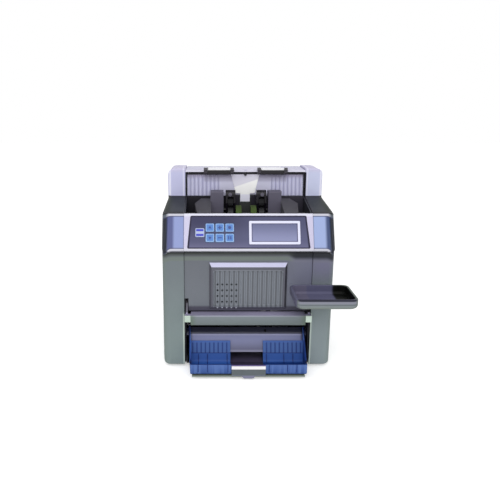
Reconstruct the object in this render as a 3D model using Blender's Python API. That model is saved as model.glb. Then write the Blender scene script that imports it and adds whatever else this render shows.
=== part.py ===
"""A desktop banknote counter: a hopper on top, a sloping control panel, a front door and a stacker below.

Metres, +Z up. Pieces are drawn in the machine's own frame: X is zero in its middle, Y is zero on the front
face of its side columns and grows to the rear, and Z is zero on the table. One empty then moves them all, so
that the box around the whole counter, side tray included, stands centred on the origin.
"""

import math

import bmesh
import bpy
from mathutils import Matrix, Vector

# Clearances
SEAT_GAP = 0.0003
RUNNING_GAP = 0.0004
WELD = 0.000002
OVERRUN = 0.004
FUSE = 0.0008

# Body, upwards from the table
WIDTH = 0.280
INNER_WIDTH = 0.209
BODY_BOTTOM = 0.004
COLUMN_HEIGHT = 0.199
PANEL_RISE = 0.057
SHOULDER_RISE = 0.016
CHEEK_HEIGHT = 0.048
SHELL_WALL = 0.0025
SHEET = 0.002

# Body, rearwards from the front face of the columns
PANEL_OVERHANG = 0.006
PANEL_SLOPE_DEPTH = 0.026
SHOULDER_DEPTH = 0.087
TOP_DEPTH = 0.065
REAR_SLOPE_DEPTH = 0.073
REAR_SLOPE_DROP = 0.084
TOE_Y = 0.001
TOE_RISE = 0.012
TOE_RADIUS = 0.004
HEEL_RADIUS = 0.012
REAR_SHOULDER_RADIUS = 0.030
TOP_REAR_RADIUS = 0.020
CREST_RADIUS = 0.003

# How far each stretch of the side outline rounds over to the outer face
ROUND_BOTTOM = 0.009
ROUND_REAR = 0.012
ROUND_TOP = 0.016
ROUND_CHEEK = 0.008
ROUND_SLOPE = 0.006
ROUND_PANEL = 0.011
ROUND_FRONT = 0.012
ROUND_STEPS = 4
DRAWN_IN = 0.0045
DRAWN_START = 0.035
DRAWN_END_GAP = 0.004

# Parting lines of the side mouldings
PART_REAR_DROP = 0.004
WING_DEPTH = 0.072

# Side frames
FRAME_FRONT_INSET = 0.008
FRAME_TOP_INSET = 0.0072
FRAME_REAR_INSET = 0.001
FRAME_BOTTOM_INSET = 0.0015

# Base plate and feet
BASE_FRONT_Y = 0.008
BASE_REAR_INSET = 0.004
BASE_FLANGE = 0.012
TONGUE_FRONT_Y = -0.045
TONGUE_INSET = 0.0105
FOOT_RADIUS = 0.009
FOOT_X = 0.085
FOOT_FRONT_INSET = 0.014
FOOT_REAR_INSET = 0.023
FOOT_CHAMFER = 0.0012

# Hopper floor
DECK_DROP = 0.020
DECK_THICK = 0.003
DECK_FRONT_GAP = 0.007
DECK_REAR_GAP = 0.0015
SILL_DROP = 0.0025
THROAT_HALF = 0.0372
THROAT_REACH = 0.024
STEP_THICK = 0.0032
STEP_HEIGHT = 0.036
TONGUE_SLOT_HALF = 0.0105
BLOCK_IN = 0.0386
BLOCK_WIDTH = 0.0224
BLOCK_DEPTH = 0.022
BLOCK_HEIGHT = 0.0467
BLOCK_RADIUS = 0.002
BED_WIDTH = 0.0268
BED_FRONT_DRAW = 0.005
BED_FRONT_GAP = 0.002
BED_CORNER_DEPTH = 0.032
BED_REAR_GAP = 0.010
BED_REAR_WIDTH = 0.016
BED_REAR_DROP = 0.0033

# Shafts, each set from the hopper floor
SHAFT_RADIUS = 0.004
FEED_RISE = 0.005
FEED_SETBACK = 0.021
FEED_ROLLER_RADIUS = 0.014
FEED_ROLLER_WIDTH = 0.009
ARM_X = 0.0265
DRUM_DROP = 0.049
DRUM_SETBACK = 0.012
DRUM_RADIUS = 0.022
DRUM_TYRE_RADIUS = 0.024
DRUM_TYRE_WIDTH = 0.016
DRUM_HALF = 0.060
STACKER_Y = 0.060
STACKER_RISE = 0.050
STACKER_SHAFT_RADIUS = 0.003
MOTOR_FROM_REAR = 0.060
MOTOR_RISE = 0.058
MOTOR_RADIUS = 0.024
MOTOR_LENGTH = 0.056
MOTOR_BOSS_RADIUS = 0.010
MOTOR_BOSS = 0.004
MOTOR_SHAFT_RADIUS = 0.0025
MOTOR_BAND = 0.001

# Pulleys and belts outside the left frame
PULLEY_STANDOFF = 0.0018
PULLEY_WIDTH = 0.0055
PULLEY_PITCH = 0.007
PULLEY_LIP = 0.0012
PULLEY_LIP_WIDTH = 0.0008
FEED_PULLEY_RADIUS = 0.010
DRUM_PULLEY_RADIUS = 0.013
STACKER_PULLEY_RADIUS = 0.011
MOTOR_PULLEY_RADIUS = 0.009
BELT_THICK = 0.0015
BELT_WIDTH = 0.0045

# Kicker rollers
KICKER_X = 0.0128
KICKER_WIDTH = 0.0095
KICKER_RADIUS = 0.017
KICKER_CORE_RADIUS = 0.013
KICKER_LOBE = 165.0
KICKER_LOBE_START = 60.0

# Separator arms and their rollers
ARM_WIDTH = 0.0165
ARM_SLOT = 0.0104
ARM_FRONT_REACH = 0.010
ARM_REAR_REACH = 0.0115
ARM_FOOT_RISE = 0.002
ARM_WAIST = 0.003
ARM_TOP_RADIUS = 0.007
ARM_ROOF_GAP = 0.0025
ARM_BRIDGE = 0.0105
ARM_ROLLER_RADIUS = 0.008
ARM_ROLLER_SETBACK = 0.004
ARM_AXLE_RADIUS = 0.002
ARM_AXLE_HALF = 0.0072
ARM_LUG_RADIUS = 0.004
ARM_LUG_SETBACK = 0.008
ARM_LUG_RISE = 0.009

# Hopper back wall, leaning back a little
WALL_GAP = 0.0035
WALL_LEAN = 0.005
WALL_FOOT_DROP = 0.002
WALL_HEAD_GAP = 0.003
WALL_THICK = 0.0025
RIB_RISE = 0.0012
RIB_PITCH = 0.00704
RIB_WIDTH = 0.0036
RIB_SLOPE = 0.0006
RIB_FIRST_X = 0.0501
RIB_COUNT = 8

# White guide plate in the middle of the wall, down from the wall's head
GUIDE_TOP_HALF = 0.025
GUIDE_FOOT_HALF = 0.0183
GUIDE_TOP_DROP = 0.002
GUIDE_WAIST_DROP = 0.028
GUIDE_FOOT_DROP = 0.035
GUIDE_TONGUE_HALF = 0.0085
GUIDE_TONGUE_DROP = 0.0495
GUIDE_THICK = 0.0016
GUIDE_FOOT_RADIUS = 0.004
GUIDE_NOTCH_HALF = 0.003
GUIDE_NOTCH_DEPTH = 0.003

# Top rail, its hinge ears and the gap screw
RAIL_SINK = 0.003
RAIL_THICK = 0.0035
RAIL_REAR_GAP = 0.0015
EAR_IN_X = 0.0235
SUPPORT_OPENING = 0.0402
EAR_WIDTH = 0.006
EAR_FRONT_REACH = 0.0055
EAR_REAR_REACH = 0.005
EAR_HEIGHT = 0.0105
EAR_RISE = 0.004
EAR_RADIUS = 0.003
SUPPORT_AXIS_REACH = 0.002
SUPPORT_PIN_RADIUS = 0.0014
SUPPORT_PIN = 0.0035
SUPPORT_SHEET = 0.002
SUPPORT_LENGTH = 0.045
SUPPORT_LIP_DROP = 0.0038
SUPPORT_LIP_THICK = 0.003
SUPPORT_SIDE_GAP = 0.0006
RECESS_DEPTH = 0.0022
LIP_NOTCH_DEPTH = 0.0045
SCREW_SETBACK = 0.0035
SCREW_HEAD_RADIUS = 0.0036
SCREW_HEAD = 0.0016
SCREW_RADIUS = 0.0020
SCREW_LENGTH = 0.0105
SCREW_SLOT = 0.0008
SCREW_SLOT_DEPTH = 0.0007

# Rear cover and rear door
DOOR_AXIS_RISE = 0.1175
DOOR_AXIS_SINK = 0.0035
DOOR_BARREL_RADIUS = 0.0025
DOOR_PIN_RADIUS = 0.0017
DOOR_SKIN = 0.0025
DOOR_TOP_GAP = 0.0024
REAR_COVER_GAP = 0.0016
VENT_COUNT = 7
VENT_PITCH = 0.008
VENT_WIDTH = 0.0032
VENT_HEIGHT = 0.034
VENT_X = 0.028
VENT_RISE = 0.068

# Mains inlet with its switch
INLET_X = -0.055
INLET_RISE = 0.036
INLET_WIDTH = 0.048
INLET_HEIGHT = 0.028
INLET_DEPTH = 0.024
INLET_RIM = 0.003
INLET_RIM_THICK = 0.0022
SOCKET_SHIFT = -0.0085
SOCKET_WIDTH = 0.024
SOCKET_HEIGHT = 0.017
SOCKET_DEPTH = 0.016
SOCKET_CORNER = 0.005
BLADE_WIDTH = 0.0022
BLADE_HEIGHT = 0.0045
BLADE_LENGTH = 0.012
BLADE_SPREAD = 0.007
SWITCH_SHIFT = 0.0155
SWITCH_WIDTH = 0.012
SWITCH_HEIGHT = 0.019
SWITCH_ROOM = 0.0013
SWITCH_POCKET = 0.010
SWITCH_PROUD = 0.0012
SWITCH_BODY = 0.0075
SWITCH_TILT = 9.0

# Control panel, drawn on its own slope
BEZEL_THICK = 0.005
BEZEL_FOOT_BORDER = 0.0047
BEZEL_HEAD_BORDER = 0.0035
BEZEL_FOOT_SIDE = 0.0055
BEZEL_HEAD_SIDE = 0.0107
WINDOW_RADIUS = 0.002
MEMBRANE_SINK = 0.0008
MEMBRANE_THICK = 0.0015
DISPLAY_X = 0.0419
DISPLAY_V = 0.0309
DISPLAY_WIDTH = 0.0822
DISPLAY_HEIGHT = 0.0385
DISPLAY_BORDER = 0.0052
DISPLAY_RIM = 0.0014
LENS_DEPTH = 0.0042
LENS_SINK = 0.0004
KEY_SIZE = 0.0136
WHITE_KEY_SIZE = 0.0146
KEY_CORNER = 0.0014
KEY_TOP_BEVEL = 0.0006
KEY_PROUD = 0.0016
KEY_FLANGE = 0.0006
KEY_FLANGE_THICK = 0.0008
KEY_TRAVEL = 0.0012
KEY_FIRST_X = -0.0623
KEY_PITCH_X = 0.0159
KEY_TOP_V = 0.0392
KEY_PITCH_V = 0.0168
WHITE_KEY_X = -0.0785
WHITE_KEY_V = 0.0310
BOARD_DEPTH = 0.0086
BOARD_THICK = 0.0016
BOARD_BORDER = 0.008
BUTTON_SIZE = 0.006

# Front door and grille
DOOR_FACE_Y = 0.002
DOOR_THICK = 0.0025
DOOR_HEIGHT = 0.101
DOOR_HEAD_GAP = 0.0015
DOOR_FLANGE_DEPTH = 0.018
NOTCH_IN = 0.0975
NOTCH_HEIGHT = 0.021
GRILLE_HALF = 0.0632
GRILLE_FOOT_RISE = 0.0045
GRILLE_HEIGHT = 0.0778
GRILLE_PLUG_INSET = 0.003
GRILLE_PROUD = 0.004
GRILLE_FLANGE_THICK = 0.0012
GRILLE_REAR_DEPTH = 0.002
GRILLE_SIDE_CHAMFER = 0.0035
GRILLE_HEAD_CHAMFER = 0.007
FIELD_SIDE = 0.0062
FIELD_FOOT = 0.0042
FIELD_HEAD = 0.0128
FIELD_SINK = 0.0024
FIELD_DRAFT = 0.0006
FIELD_WALL = 0.002
FIELD_CORNER = 0.006
FLUTE_PITCH = 0.00765
FLUTE_WIDTH = 0.0022
FLUTE_DEPTH = 0.0010
FLUTE_COUNT = 14
FLUTE_MARGIN = 0.003
HOLE_PITCH_Z = 0.0099
HOLE_FIRST_RISE = 0.0069
HOLE_RADIUS = 0.0017
HOLE_COLUMNS = 5
HOLE_ROWS = 4

# Exit flap across the stacker mouth, set from the foot of the front door
FLAP_HALF = 0.0935
FLAP_FRONT_Y = -0.016
FLAP_DEPTH = 0.0212
FLAP_DROP = 0.0025
FLAP_HEIGHT = 0.0165
FLAP_WALL = 0.0025
FLAP_RADIUS = 0.0015
CAP_OUT_GAP = 0.0009
CAP_DEPTH = 0.010
CAP_LIFT = 0.0044
FLAP_AXIS_Y = 0.0135
FLAP_AXIS_RISE = 0.0155
FLAP_ARM_WIDTH = 0.003
FLAP_ARM_HALF = 0.0038
FLAP_PIN_RADIUS = 0.0024
FLAP_ARM_END_DEPTH = 0.007
FLAP_ARM_END_LIFT = 0.009
ARM_END_SHARE = 0.95

# Stacker plates, set from the base plate
PLATE_HALF = 0.0965
PLATE_THICK = 0.002
PLATE_FOOT_Y = 0.008
PLATE_FOOT_RISE = 0.018
PLATE_BEND_DEPTH = 0.014
PLATE_BEND_RISE = 0.0305
PLATE_HEAD_DEPTH = 0.009
PLATE_HEAD_RISE = 0.0055
PLATE_LUG_DROP = 0.0055
POCKET_IN = 0.0276
POCKET_OUT = 0.098
POCKET_WALL = 0.0025
POCKET_HEAD_DEPTH = 0.012
POCKET_HEAD_RISE = 0.0362
POCKET_BEND_Y = 0.0015
POCKET_LENGTH = 0.046
POCKET_LIP = 0.0187
POCKET_TAPER = 0.0037
POCKET_CHAMFER = 0.003
POCKET_LIP_RADIUS = 0.006
POCKET_BEND_RADIUS = 0.008
SIDE_WALL_HEAD_DEPTH = 0.0205
SIDE_WALL_RISE = 0.0597
SIDE_WALL_WAIST = 0.0145
SIDE_WALL_WAIST_RISE = 0.0237
GROOVE_PITCH = 0.0072
GROOVE_WIDTH = 0.0014
GROOVE_DEPTH = 0.0008
GROOVE_FOOT_RISE = 0.0177
CENTRE_GAP = 0.0003
CENTRE_REACH = 0.0033
CENTRE_WALL = 0.0024
CENTRE_FOOT_RISE = 0.0007
TAB_HALF = 0.0105
TAB_DROP = 0.0039
TAB_RADIUS = 0.0045

# Stacking wheels
WHEEL_X = 0.042
WHEEL_WIDTH = 0.008
WHEEL_HUB_RADIUS = 0.009
WHEEL_RADIUS = 0.025
WHEEL_FINS = 8
FIN_ROOT = 0.0020
FIN_TIP = 0.0009
FIN_SWEEP = 55.0
FIN_STEPS = 4

# Side tray and its bracket on the right column
TRAY_LEFT = 0.066
TRAY_WIDTH = 0.095
TRAY_REAR_Y = -0.0065
TRAY_DEPTH = 0.0775
TRAY_RISE = 0.1275
TRAY_HEIGHT = 0.0165
TRAY_WALL = 0.004
TRAY_FLOOR = 0.0025
TRAY_FRONT_RADIUS = 0.010
TRAY_REAR_RADIUS = 0.010
TRAY_FOOT_RADIUS = 0.007
BRACKET_SHIFT = 0.0415
BRACKET_WIDTH = 0.016
BRACKET_DROP = 0.0135
BRACKET_HEAD_DROP = 0.0035
BRACKET_RADIUS = 0.003

# Power supply
SUPPLY_LEFT = 0.030
SUPPLY_WIDTH = 0.062
SUPPLY_REAR_GAP = 0.023
SUPPLY_LENGTH = 0.092
SUPPLY_HEIGHT = 0.036
SUPPLY_FLANGE = 0.008

# Places that follow from the sizes above
HALF = WIDTH / 2
INNER = INNER_WIDTH / 2
FRAME_OUT = INNER - SEAT_GAP
FRAME_IN = FRAME_OUT - SHEET
BETWEEN = FRAME_IN - SEAT_GAP
PANEL_FOOT_Z = BODY_BOTTOM + COLUMN_HEIGHT
PANEL_TOP_Z = PANEL_FOOT_Z + PANEL_RISE
CHEEK_FOOT_Z = PANEL_TOP_Z + SHOULDER_RISE
BODY_TOP = CHEEK_FOOT_Z + CHEEK_HEIGHT
PANEL_FOOT_Y = -PANEL_OVERHANG
PANEL_TOP_Y = PANEL_FOOT_Y + PANEL_SLOPE_DEPTH
PANEL_LENGTH = math.hypot(PANEL_SLOPE_DEPTH, PANEL_RISE)
CHEEK_Y = PANEL_TOP_Y + SHOULDER_DEPTH
TOP_REAR_Y = CHEEK_Y + TOP_DEPTH
REAR_Y = TOP_REAR_Y + REAR_SLOPE_DEPTH
REAR_SHOULDER_Z = BODY_TOP - REAR_SLOPE_DROP
PART_REAR_Z = REAR_SHOULDER_Z - PART_REAR_DROP
BASE_TOP = BODY_BOTTOM + SHEET
TONGUE_HALF = BETWEEN - TONGUE_INSET
DECK_BOTTOM = PANEL_TOP_Z - DECK_DROP
DECK_FRONT_Y = PANEL_TOP_Y + DECK_FRONT_GAP
DECK_REAR_Y = CHEEK_Y + DECK_REAR_GAP
FEED_Y = CHEEK_Y - FEED_SETBACK
FEED_Z = DECK_BOTTOM + FEED_RISE
THROAT_FRONT_Y = FEED_Y - THROAT_REACH
BLOCK_OUT = BLOCK_IN + BLOCK_WIDTH
BLOCK_FRONT_Y = CHEEK_Y - BLOCK_DEPTH
BLOCK_TOP_Z = DECK_BOTTOM + BLOCK_HEIGHT
STEP_TOP_Z = DECK_BOTTOM + STEP_HEIGHT
BED_OUT = BLOCK_OUT + BED_WIDTH
BED_REAR_OUT = BLOCK_OUT + BED_REAR_WIDTH
BED_FRONT_Y = DECK_FRONT_Y + BED_FRONT_GAP
BED_CORNER_Y = CHEEK_Y - BED_CORNER_DEPTH
BED_REAR_Y = CHEEK_Y - BED_REAR_GAP
BED_FRONT_Z = PANEL_TOP_Z - SILL_DROP
BED_REAR_Z = CHEEK_FOOT_Z - BED_REAR_DROP
DRUM_Y = FEED_Y + DRUM_SETBACK
DRUM_Z = FEED_Z - DRUM_DROP
STACKER_Z = BODY_BOTTOM + STACKER_RISE
MOTOR_Y = REAR_Y - MOTOR_FROM_REAR
MOTOR_Z = BODY_BOTTOM + MOTOR_RISE
PULLEY_START = FRAME_OUT + PULLEY_STANDOFF
ARM_ROLLER_Y = FEED_Y + ARM_ROLLER_SETBACK
ARM_ROLLER_Z = FEED_Z + math.sqrt(
    (FEED_ROLLER_RADIUS + ARM_ROLLER_RADIUS + RUNNING_GAP) ** 2 - ARM_ROLLER_SETBACK**2
)
ARM_FRONT_Y = ARM_ROLLER_Y - ARM_FRONT_REACH
ARM_REAR_Y = ARM_ROLLER_Y + ARM_REAR_REACH
ARM_FOOT_Z = FEED_Z + ARM_FOOT_RISE
ARM_BRIDGE_Z = ARM_ROLLER_Z + ARM_ROLLER_RADIUS + ARM_ROOF_GAP
ARM_TOP_Z = ARM_BRIDGE_Z + ARM_BRIDGE
ARM_LUG_Y = FEED_Y + ARM_LUG_SETBACK
ARM_LUG_Z = FEED_Z + ARM_LUG_RISE
RAIL_TOP = BODY_TOP - RAIL_SINK
RAIL_REAR_Y = TOP_REAR_Y - RAIL_REAR_GAP
DRAWN_END_Y = CHEEK_Y - DRAWN_END_GAP
WALL_FOOT_Y = CHEEK_Y + WALL_GAP
WALL_HEAD_Y = WALL_FOOT_Y + WALL_LEAN
WALL_FOOT_Z = DECK_BOTTOM - WALL_FOOT_DROP
WALL_HEAD_Z = RAIL_TOP - RAIL_THICK - WALL_HEAD_GAP
GUIDE_TOP_Z = WALL_HEAD_Z - GUIDE_TOP_DROP
GUIDE_WAIST_Z = WALL_HEAD_Z - GUIDE_WAIST_DROP
GUIDE_FOOT_Z = WALL_HEAD_Z - GUIDE_FOOT_DROP
GUIDE_TONGUE_Z = WALL_HEAD_Z - GUIDE_TONGUE_DROP
EAR_OUT_X = EAR_IN_X + EAR_WIDTH + SUPPORT_OPENING
EAR_FRONT_Y = CHEEK_Y - EAR_FRONT_REACH
EAR_REAR_Y = CHEEK_Y + EAR_REAR_REACH
EAR_TOP_Z = RAIL_TOP + EAR_RISE
EAR_FOOT_Z = EAR_TOP_Z - EAR_HEIGHT
SUPPORT_AXIS_Y = CHEEK_Y - SUPPORT_AXIS_REACH
SUPPORT_AXIS_Z = RAIL_TOP - RAIL_THICK
SUPPORT_LIP_FOOT_Z = SUPPORT_AXIS_Z - SUPPORT_LIP_DROP
LIP_NOTCH_REAR_Y = CHEEK_Y + LIP_NOTCH_DEPTH
SCREW_Y = CHEEK_Y + SCREW_SETBACK
SCREW_FOOT_Z = RAIL_TOP - SCREW_LENGTH
REAR_SKIN_Y = REAR_Y - FRAME_REAR_INSET
DOOR_AXIS_Y = REAR_SKIN_Y - DOOR_AXIS_SINK
DOOR_AXIS_Z = BODY_BOTTOM + DOOR_AXIS_RISE
REAR_COVER_TOP = DOOR_AXIS_Z - DOOR_BARREL_RADIUS - REAR_COVER_GAP
VENT_Z = BODY_BOTTOM + VENT_RISE
INLET_Z = BODY_BOTTOM + INLET_RISE
INLET_FACE_Y = REAR_SKIN_Y + SEAT_GAP + INLET_RIM_THICK
SWITCH_LIFT = SWITCH_HEIGHT / 2 * math.sin(math.radians(SWITCH_TILT))
WINDOW_FOOT_HALF = INNER - BEZEL_FOOT_SIDE
WINDOW_HEAD_HALF = INNER - BEZEL_HEAD_SIDE
DOOR_HEAD_Z = PANEL_FOOT_Z - DOOR_HEAD_GAP
DOOR_FOOT_Z = DOOR_HEAD_Z - DOOR_HEIGHT
DOOR_FLANGE_REAR_Y = DOOR_FACE_Y + DOOR_FLANGE_DEPTH
NOTCH_TOP_Z = DOOR_FOOT_Z + NOTCH_HEIGHT
GRILLE_FOOT_Z = DOOR_FOOT_Z + GRILLE_FOOT_RISE
GRILLE_HEAD_Z = GRILLE_FOOT_Z + GRILLE_HEIGHT
GRILLE_FACE_Y = DOOR_FACE_Y - GRILLE_PROUD
GRILLE_REAR_Y = DOOR_FACE_Y + DOOR_THICK + GRILLE_REAR_DEPTH
FIELD_HALF = GRILLE_HALF - FIELD_SIDE
FIELD_FOOT_Z = GRILLE_FOOT_Z + FIELD_FOOT
FIELD_HEAD_Z = GRILLE_HEAD_Z - FIELD_HEAD
FLUTE_FIRST_X = -FLUTE_PITCH * (FLUTE_COUNT - 1) / 2
HOLE_FIRST_Z = FIELD_FOOT_Z + HOLE_FIRST_RISE
FLAP_REAR_Y = FLAP_FRONT_Y + FLAP_DEPTH
FLAP_TOP_Z = DOOR_FOOT_Z - FLAP_DROP
FLAP_FOOT_Z = FLAP_TOP_Z - FLAP_HEIGHT
CAP_OUT = INNER - CAP_OUT_GAP
CAP_REAR_Y = FLAP_FRONT_Y + CAP_DEPTH
CAP_FOOT_Z = FLAP_FOOT_Z + CAP_LIFT
FLAP_AXIS_Z = DOOR_FOOT_Z + FLAP_AXIS_RISE
FLAP_ARM_OUT = BETWEEN - SEAT_GAP
FLAP_ARM_IN = FLAP_ARM_OUT - FLAP_ARM_WIDTH
FLAP_ARM_END_Y = FLAP_FRONT_Y + FLAP_ARM_END_DEPTH
FLAP_ARM_END_Z = FLAP_FOOT_Z + FLAP_ARM_END_LIFT
PLATE_FOOT_Z = BASE_TOP + PLATE_FOOT_RISE
PLATE_BEND_Y = PLATE_FOOT_Y + PLATE_BEND_DEPTH
PLATE_BEND_Z = PLATE_FOOT_Z + PLATE_BEND_RISE
PLATE_HEAD_Y = PLATE_BEND_Y + PLATE_HEAD_DEPTH
PLATE_HEAD_Z = PLATE_BEND_Z + PLATE_HEAD_RISE
PLATE_LUG_FOOT_Z = PLATE_BEND_Z - PLATE_LUG_DROP
POCKET_FLOOR_Z = BASE_TOP + SEAT_GAP
POCKET_HEAD_Y = POCKET_BEND_Y + POCKET_HEAD_DEPTH
POCKET_HEAD_Z = POCKET_FLOOR_Z + POCKET_HEAD_RISE
POCKET_FRONT_Y = POCKET_BEND_Y - POCKET_LENGTH
POCKET_LIP_Z = POCKET_FLOOR_Z + POCKET_LIP
SIDE_WALL_HEAD_Y = POCKET_BEND_Y + SIDE_WALL_HEAD_DEPTH
SIDE_WALL_HEAD_Z = POCKET_FLOOR_Z + SIDE_WALL_RISE
SIDE_WALL_WAIST_Y = POCKET_FRONT_Y + SIDE_WALL_WAIST
SIDE_WALL_WAIST_Z = POCKET_FLOOR_Z + SIDE_WALL_WAIST_RISE
GROOVE_FOOT_Z = POCKET_FLOOR_Z + GROOVE_FOOT_RISE
CENTRE_HALF = POCKET_IN - CENTRE_GAP
CENTRE_FRONT_Y = POCKET_FRONT_Y - CENTRE_REACH
CENTRE_FOOT_Z = POCKET_FLOOR_Z + CENTRE_FOOT_RISE
TAB_FOOT_Z = POCKET_FLOOR_Z - TAB_DROP
FOOT_FRONT_Y = BASE_FRONT_Y + FOOT_FRONT_INSET
FOOT_REAR_Y = REAR_Y - FOOT_REAR_INSET
TRAY_RIGHT = TRAY_LEFT + TRAY_WIDTH
TRAY_FRONT_Y = TRAY_REAR_Y - TRAY_DEPTH
TRAY_FOOT_Z = BODY_BOTTOM + TRAY_RISE
TRAY_TOP_Z = TRAY_FOOT_Z + TRAY_HEIGHT
BRACKET_LEFT = TRAY_LEFT + BRACKET_SHIFT
BRACKET_RIGHT = BRACKET_LEFT + BRACKET_WIDTH
BRACKET_FOOT_Z = TRAY_FOOT_Z - BRACKET_DROP
BRACKET_HEAD_Z = TRAY_TOP_Z - BRACKET_HEAD_DROP
SUPPLY_RIGHT = SUPPLY_LEFT + SUPPLY_WIDTH
SUPPLY_REAR_Y = REAR_Y - SUPPLY_REAR_GAP
SUPPLY_FRONT_Y = SUPPLY_REAR_Y - SUPPLY_LENGTH

ALONG_X = Matrix(((0, 0, 1, 0), (1, 0, 0, 0), (0, 1, 0, 0), (0, 0, 0, 1)))
ALONG_Y = Matrix(((1, 0, 0, 0), (0, 0, 1, 0), (0, 1, 0, 0), (0, 0, 0, 1)))
ALONG_Z = Matrix.Identity(4)


def clear_scene():
    for obj in list(bpy.data.objects):
        bpy.data.objects.remove(obj, do_unlink=True)


def make_material(name, colour, roughness, metallic=0.0, alpha=1.0):
    material = bpy.data.materials.new(name)
    material.use_nodes = True
    shader = material.node_tree.nodes["Principled BSDF"]
    shader.inputs["Base Color"].default_value = (*colour, 1.0)
    shader.inputs["Roughness"].default_value = roughness
    shader.inputs["Metallic"].default_value = metallic
    shader.inputs["Alpha"].default_value = alpha
    return material


def make_materials():
    looks = {
        "grey_cover": ((0.20, 0.235, 0.245), 0.38, 0.1),
        "silver_trim": ((0.60, 0.59, 0.74), 0.28, 0.5),
        "wing_blue": ((0.32, 0.37, 0.62), 0.30, 0.5),
        "lavender": ((0.50, 0.50, 0.70), 0.35, 0.2),
        "dark_plastic": ((0.045, 0.045, 0.055), 0.42),
        "black_plastic": ((0.008, 0.007, 0.010), 0.35),
        "white_gloss": ((0.85, 0.85, 0.87), 0.15),
        "membrane": ((0.085, 0.085, 0.16), 0.30),
        "lcd": ((0.21, 0.21, 0.42), 0.20),
        "key_blue": ((0.10, 0.32, 0.80), 0.35),
        "stacker_blue": ((0.04, 0.12, 0.40), 0.12, 0.0, 0.75),
        "steel": ((0.45, 0.45, 0.46), 0.35, 1.0),
        "rubber": ((0.02, 0.02, 0.02), 0.85),
        "green_rubber": ((0.12, 0.20, 0.03), 0.75),
        "circuit_green": ((0.02, 0.12, 0.05), 0.50),
    }
    return {name: make_material(name, *look) for name, look in looks.items()}


def placed_root():
    """The empty that centres the counter's box, side tray included, over the origin."""
    empty = bpy.data.objects.new("counter", None)
    across = (TRAY_RIGHT - HALF) / 2
    along = (INLET_FACE_Y + SWITCH_PROUD + SWITCH_LIFT / 2 + TRAY_FRONT_Y) / 2
    empty.location = (-across, -along, 0)
    bpy.context.scene.collection.objects.link(empty)
    return empty


def new_object(name, bm, pivot=(0, 0, 0)):
    bmesh.ops.translate(bm, vec=-Vector(pivot), verts=bm.verts)
    mesh = bpy.data.meshes.new(name)
    bm.to_mesh(mesh)
    bm.free()
    obj = bpy.data.objects.new(name, mesh)
    obj.location = pivot
    obj.parent = ROOT
    bpy.context.scene.collection.objects.link(obj)
    return obj


def piece(name, bm, look, pivot=(0, 0, 0), smooth=None):
    """A node of the counter. Its origin is its pivot; smooth is the angle in degrees below which edges are soft."""
    obj = new_object(name, bm, pivot)
    obj.data.materials.append(LOOKS[look])
    if smooth is not None:
        obj.data.shade_smooth()
        obj.data.set_sharp_from_angle(angle=math.radians(smooth))
    return obj


def combine(obj, bm, operation):
    """Adds a Boolean with a helper object that isn't a node."""
    helper = new_object(f"{obj.name}_{operation.lower()}_{len(obj.modifiers)}", bm)
    helper.hide_render = True
    helper.display_type = "WIRE"
    modifier = obj.modifiers.new(helper.name, "BOOLEAN")
    modifier.operation = operation
    modifier.solver = "EXACT"
    modifier.object = helper


def cut(obj, *shapes):
    for bm in shapes:
        combine(obj, bm, "DIFFERENCE")


def unite(obj, *shapes):
    for bm in shapes:
        combine(obj, bm, "UNION")


def prism(loops, low, high, frame=ALONG_Z):
    """An outline, and any holes in it, drawn in a frame's first two axes and extruded along its third."""
    bm = bmesh.new()
    edges = []
    for loop in loops:
        verts = [bm.verts.new((a, b, low)) for a, b in loop]
        edges += [bm.edges.new((v, w)) for v, w in zip(verts, verts[1:] + verts[:1])]
    if len(loops) == 1:
        bm.faces.new(verts)
    else:
        bmesh.ops.triangle_fill(bm, use_beauty=True, use_dissolve=False, edges=edges)
    grown = bmesh.ops.extrude_face_region(bm, geom=bm.faces[:])["geom"]
    moved = [g for g in grown if isinstance(g, bmesh.types.BMVert)]
    bmesh.ops.translate(bm, vec=(0, 0, high - low), verts=moved)
    bmesh.ops.transform(bm, matrix=frame, verts=bm.verts)
    bmesh.ops.recalc_face_normals(bm, faces=bm.faces)
    return bm


def merged(*shapes):
    """Separate shapes in one mesh, for cutters that don't touch each other."""
    whole = bmesh.new()
    for bm in shapes:
        mesh = bpy.data.meshes.new("scrap")
        bm.to_mesh(mesh)
        bm.free()
        whole.from_mesh(mesh)
        bpy.data.meshes.remove(mesh)
    return whole


def box(x0, x1, y0, y1, z0, z1):
    return prism([[(x0, y0), (x1, y0), (x1, y1), (x0, y1)]], z0, z1)


def loft(rings):
    """A closed skin through rings of as many points, capped at both ends."""
    bm = bmesh.new()
    rows = [[bm.verts.new(p) for p in ring] for ring in rings]
    for row, other in zip(rows, rows[1:]):
        for i in range(len(row)):
            j = (i + 1) % len(row)
            bm.faces.new((row[i], row[j], other[j], other[i]))
    bm.faces.new(rows[0])
    bm.faces.new(rows[-1])
    bmesh.ops.remove_doubles(bm, verts=bm.verts, dist=WELD)
    bmesh.ops.recalc_face_normals(bm, faces=bm.faces)
    return bm


def turned(stations, frame, segments=16, bored=False):
    """A round body from (distance, radius) stations along a frame's third axis; a bored one closes."""
    bm = bmesh.new()
    verts = [bm.verts.new((radius, 0, distance)) for distance, radius in stations]
    pairs = zip(verts, verts[1:] + verts[:1]) if bored else zip(verts, verts[1:])
    edges = [bm.edges.new(pair) for pair in pairs]
    bmesh.ops.spin(
        bm, geom=verts + edges, cent=(0, 0, 0), axis=(0, 0, 1), angle=math.tau, steps=segments, use_merge=True
    )
    bmesh.ops.remove_doubles(bm, verts=bm.verts, dist=WELD)
    bmesh.ops.transform(bm, matrix=frame, verts=bm.verts)
    bmesh.ops.recalc_face_normals(bm, faces=bm.faces)
    return bm


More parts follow.
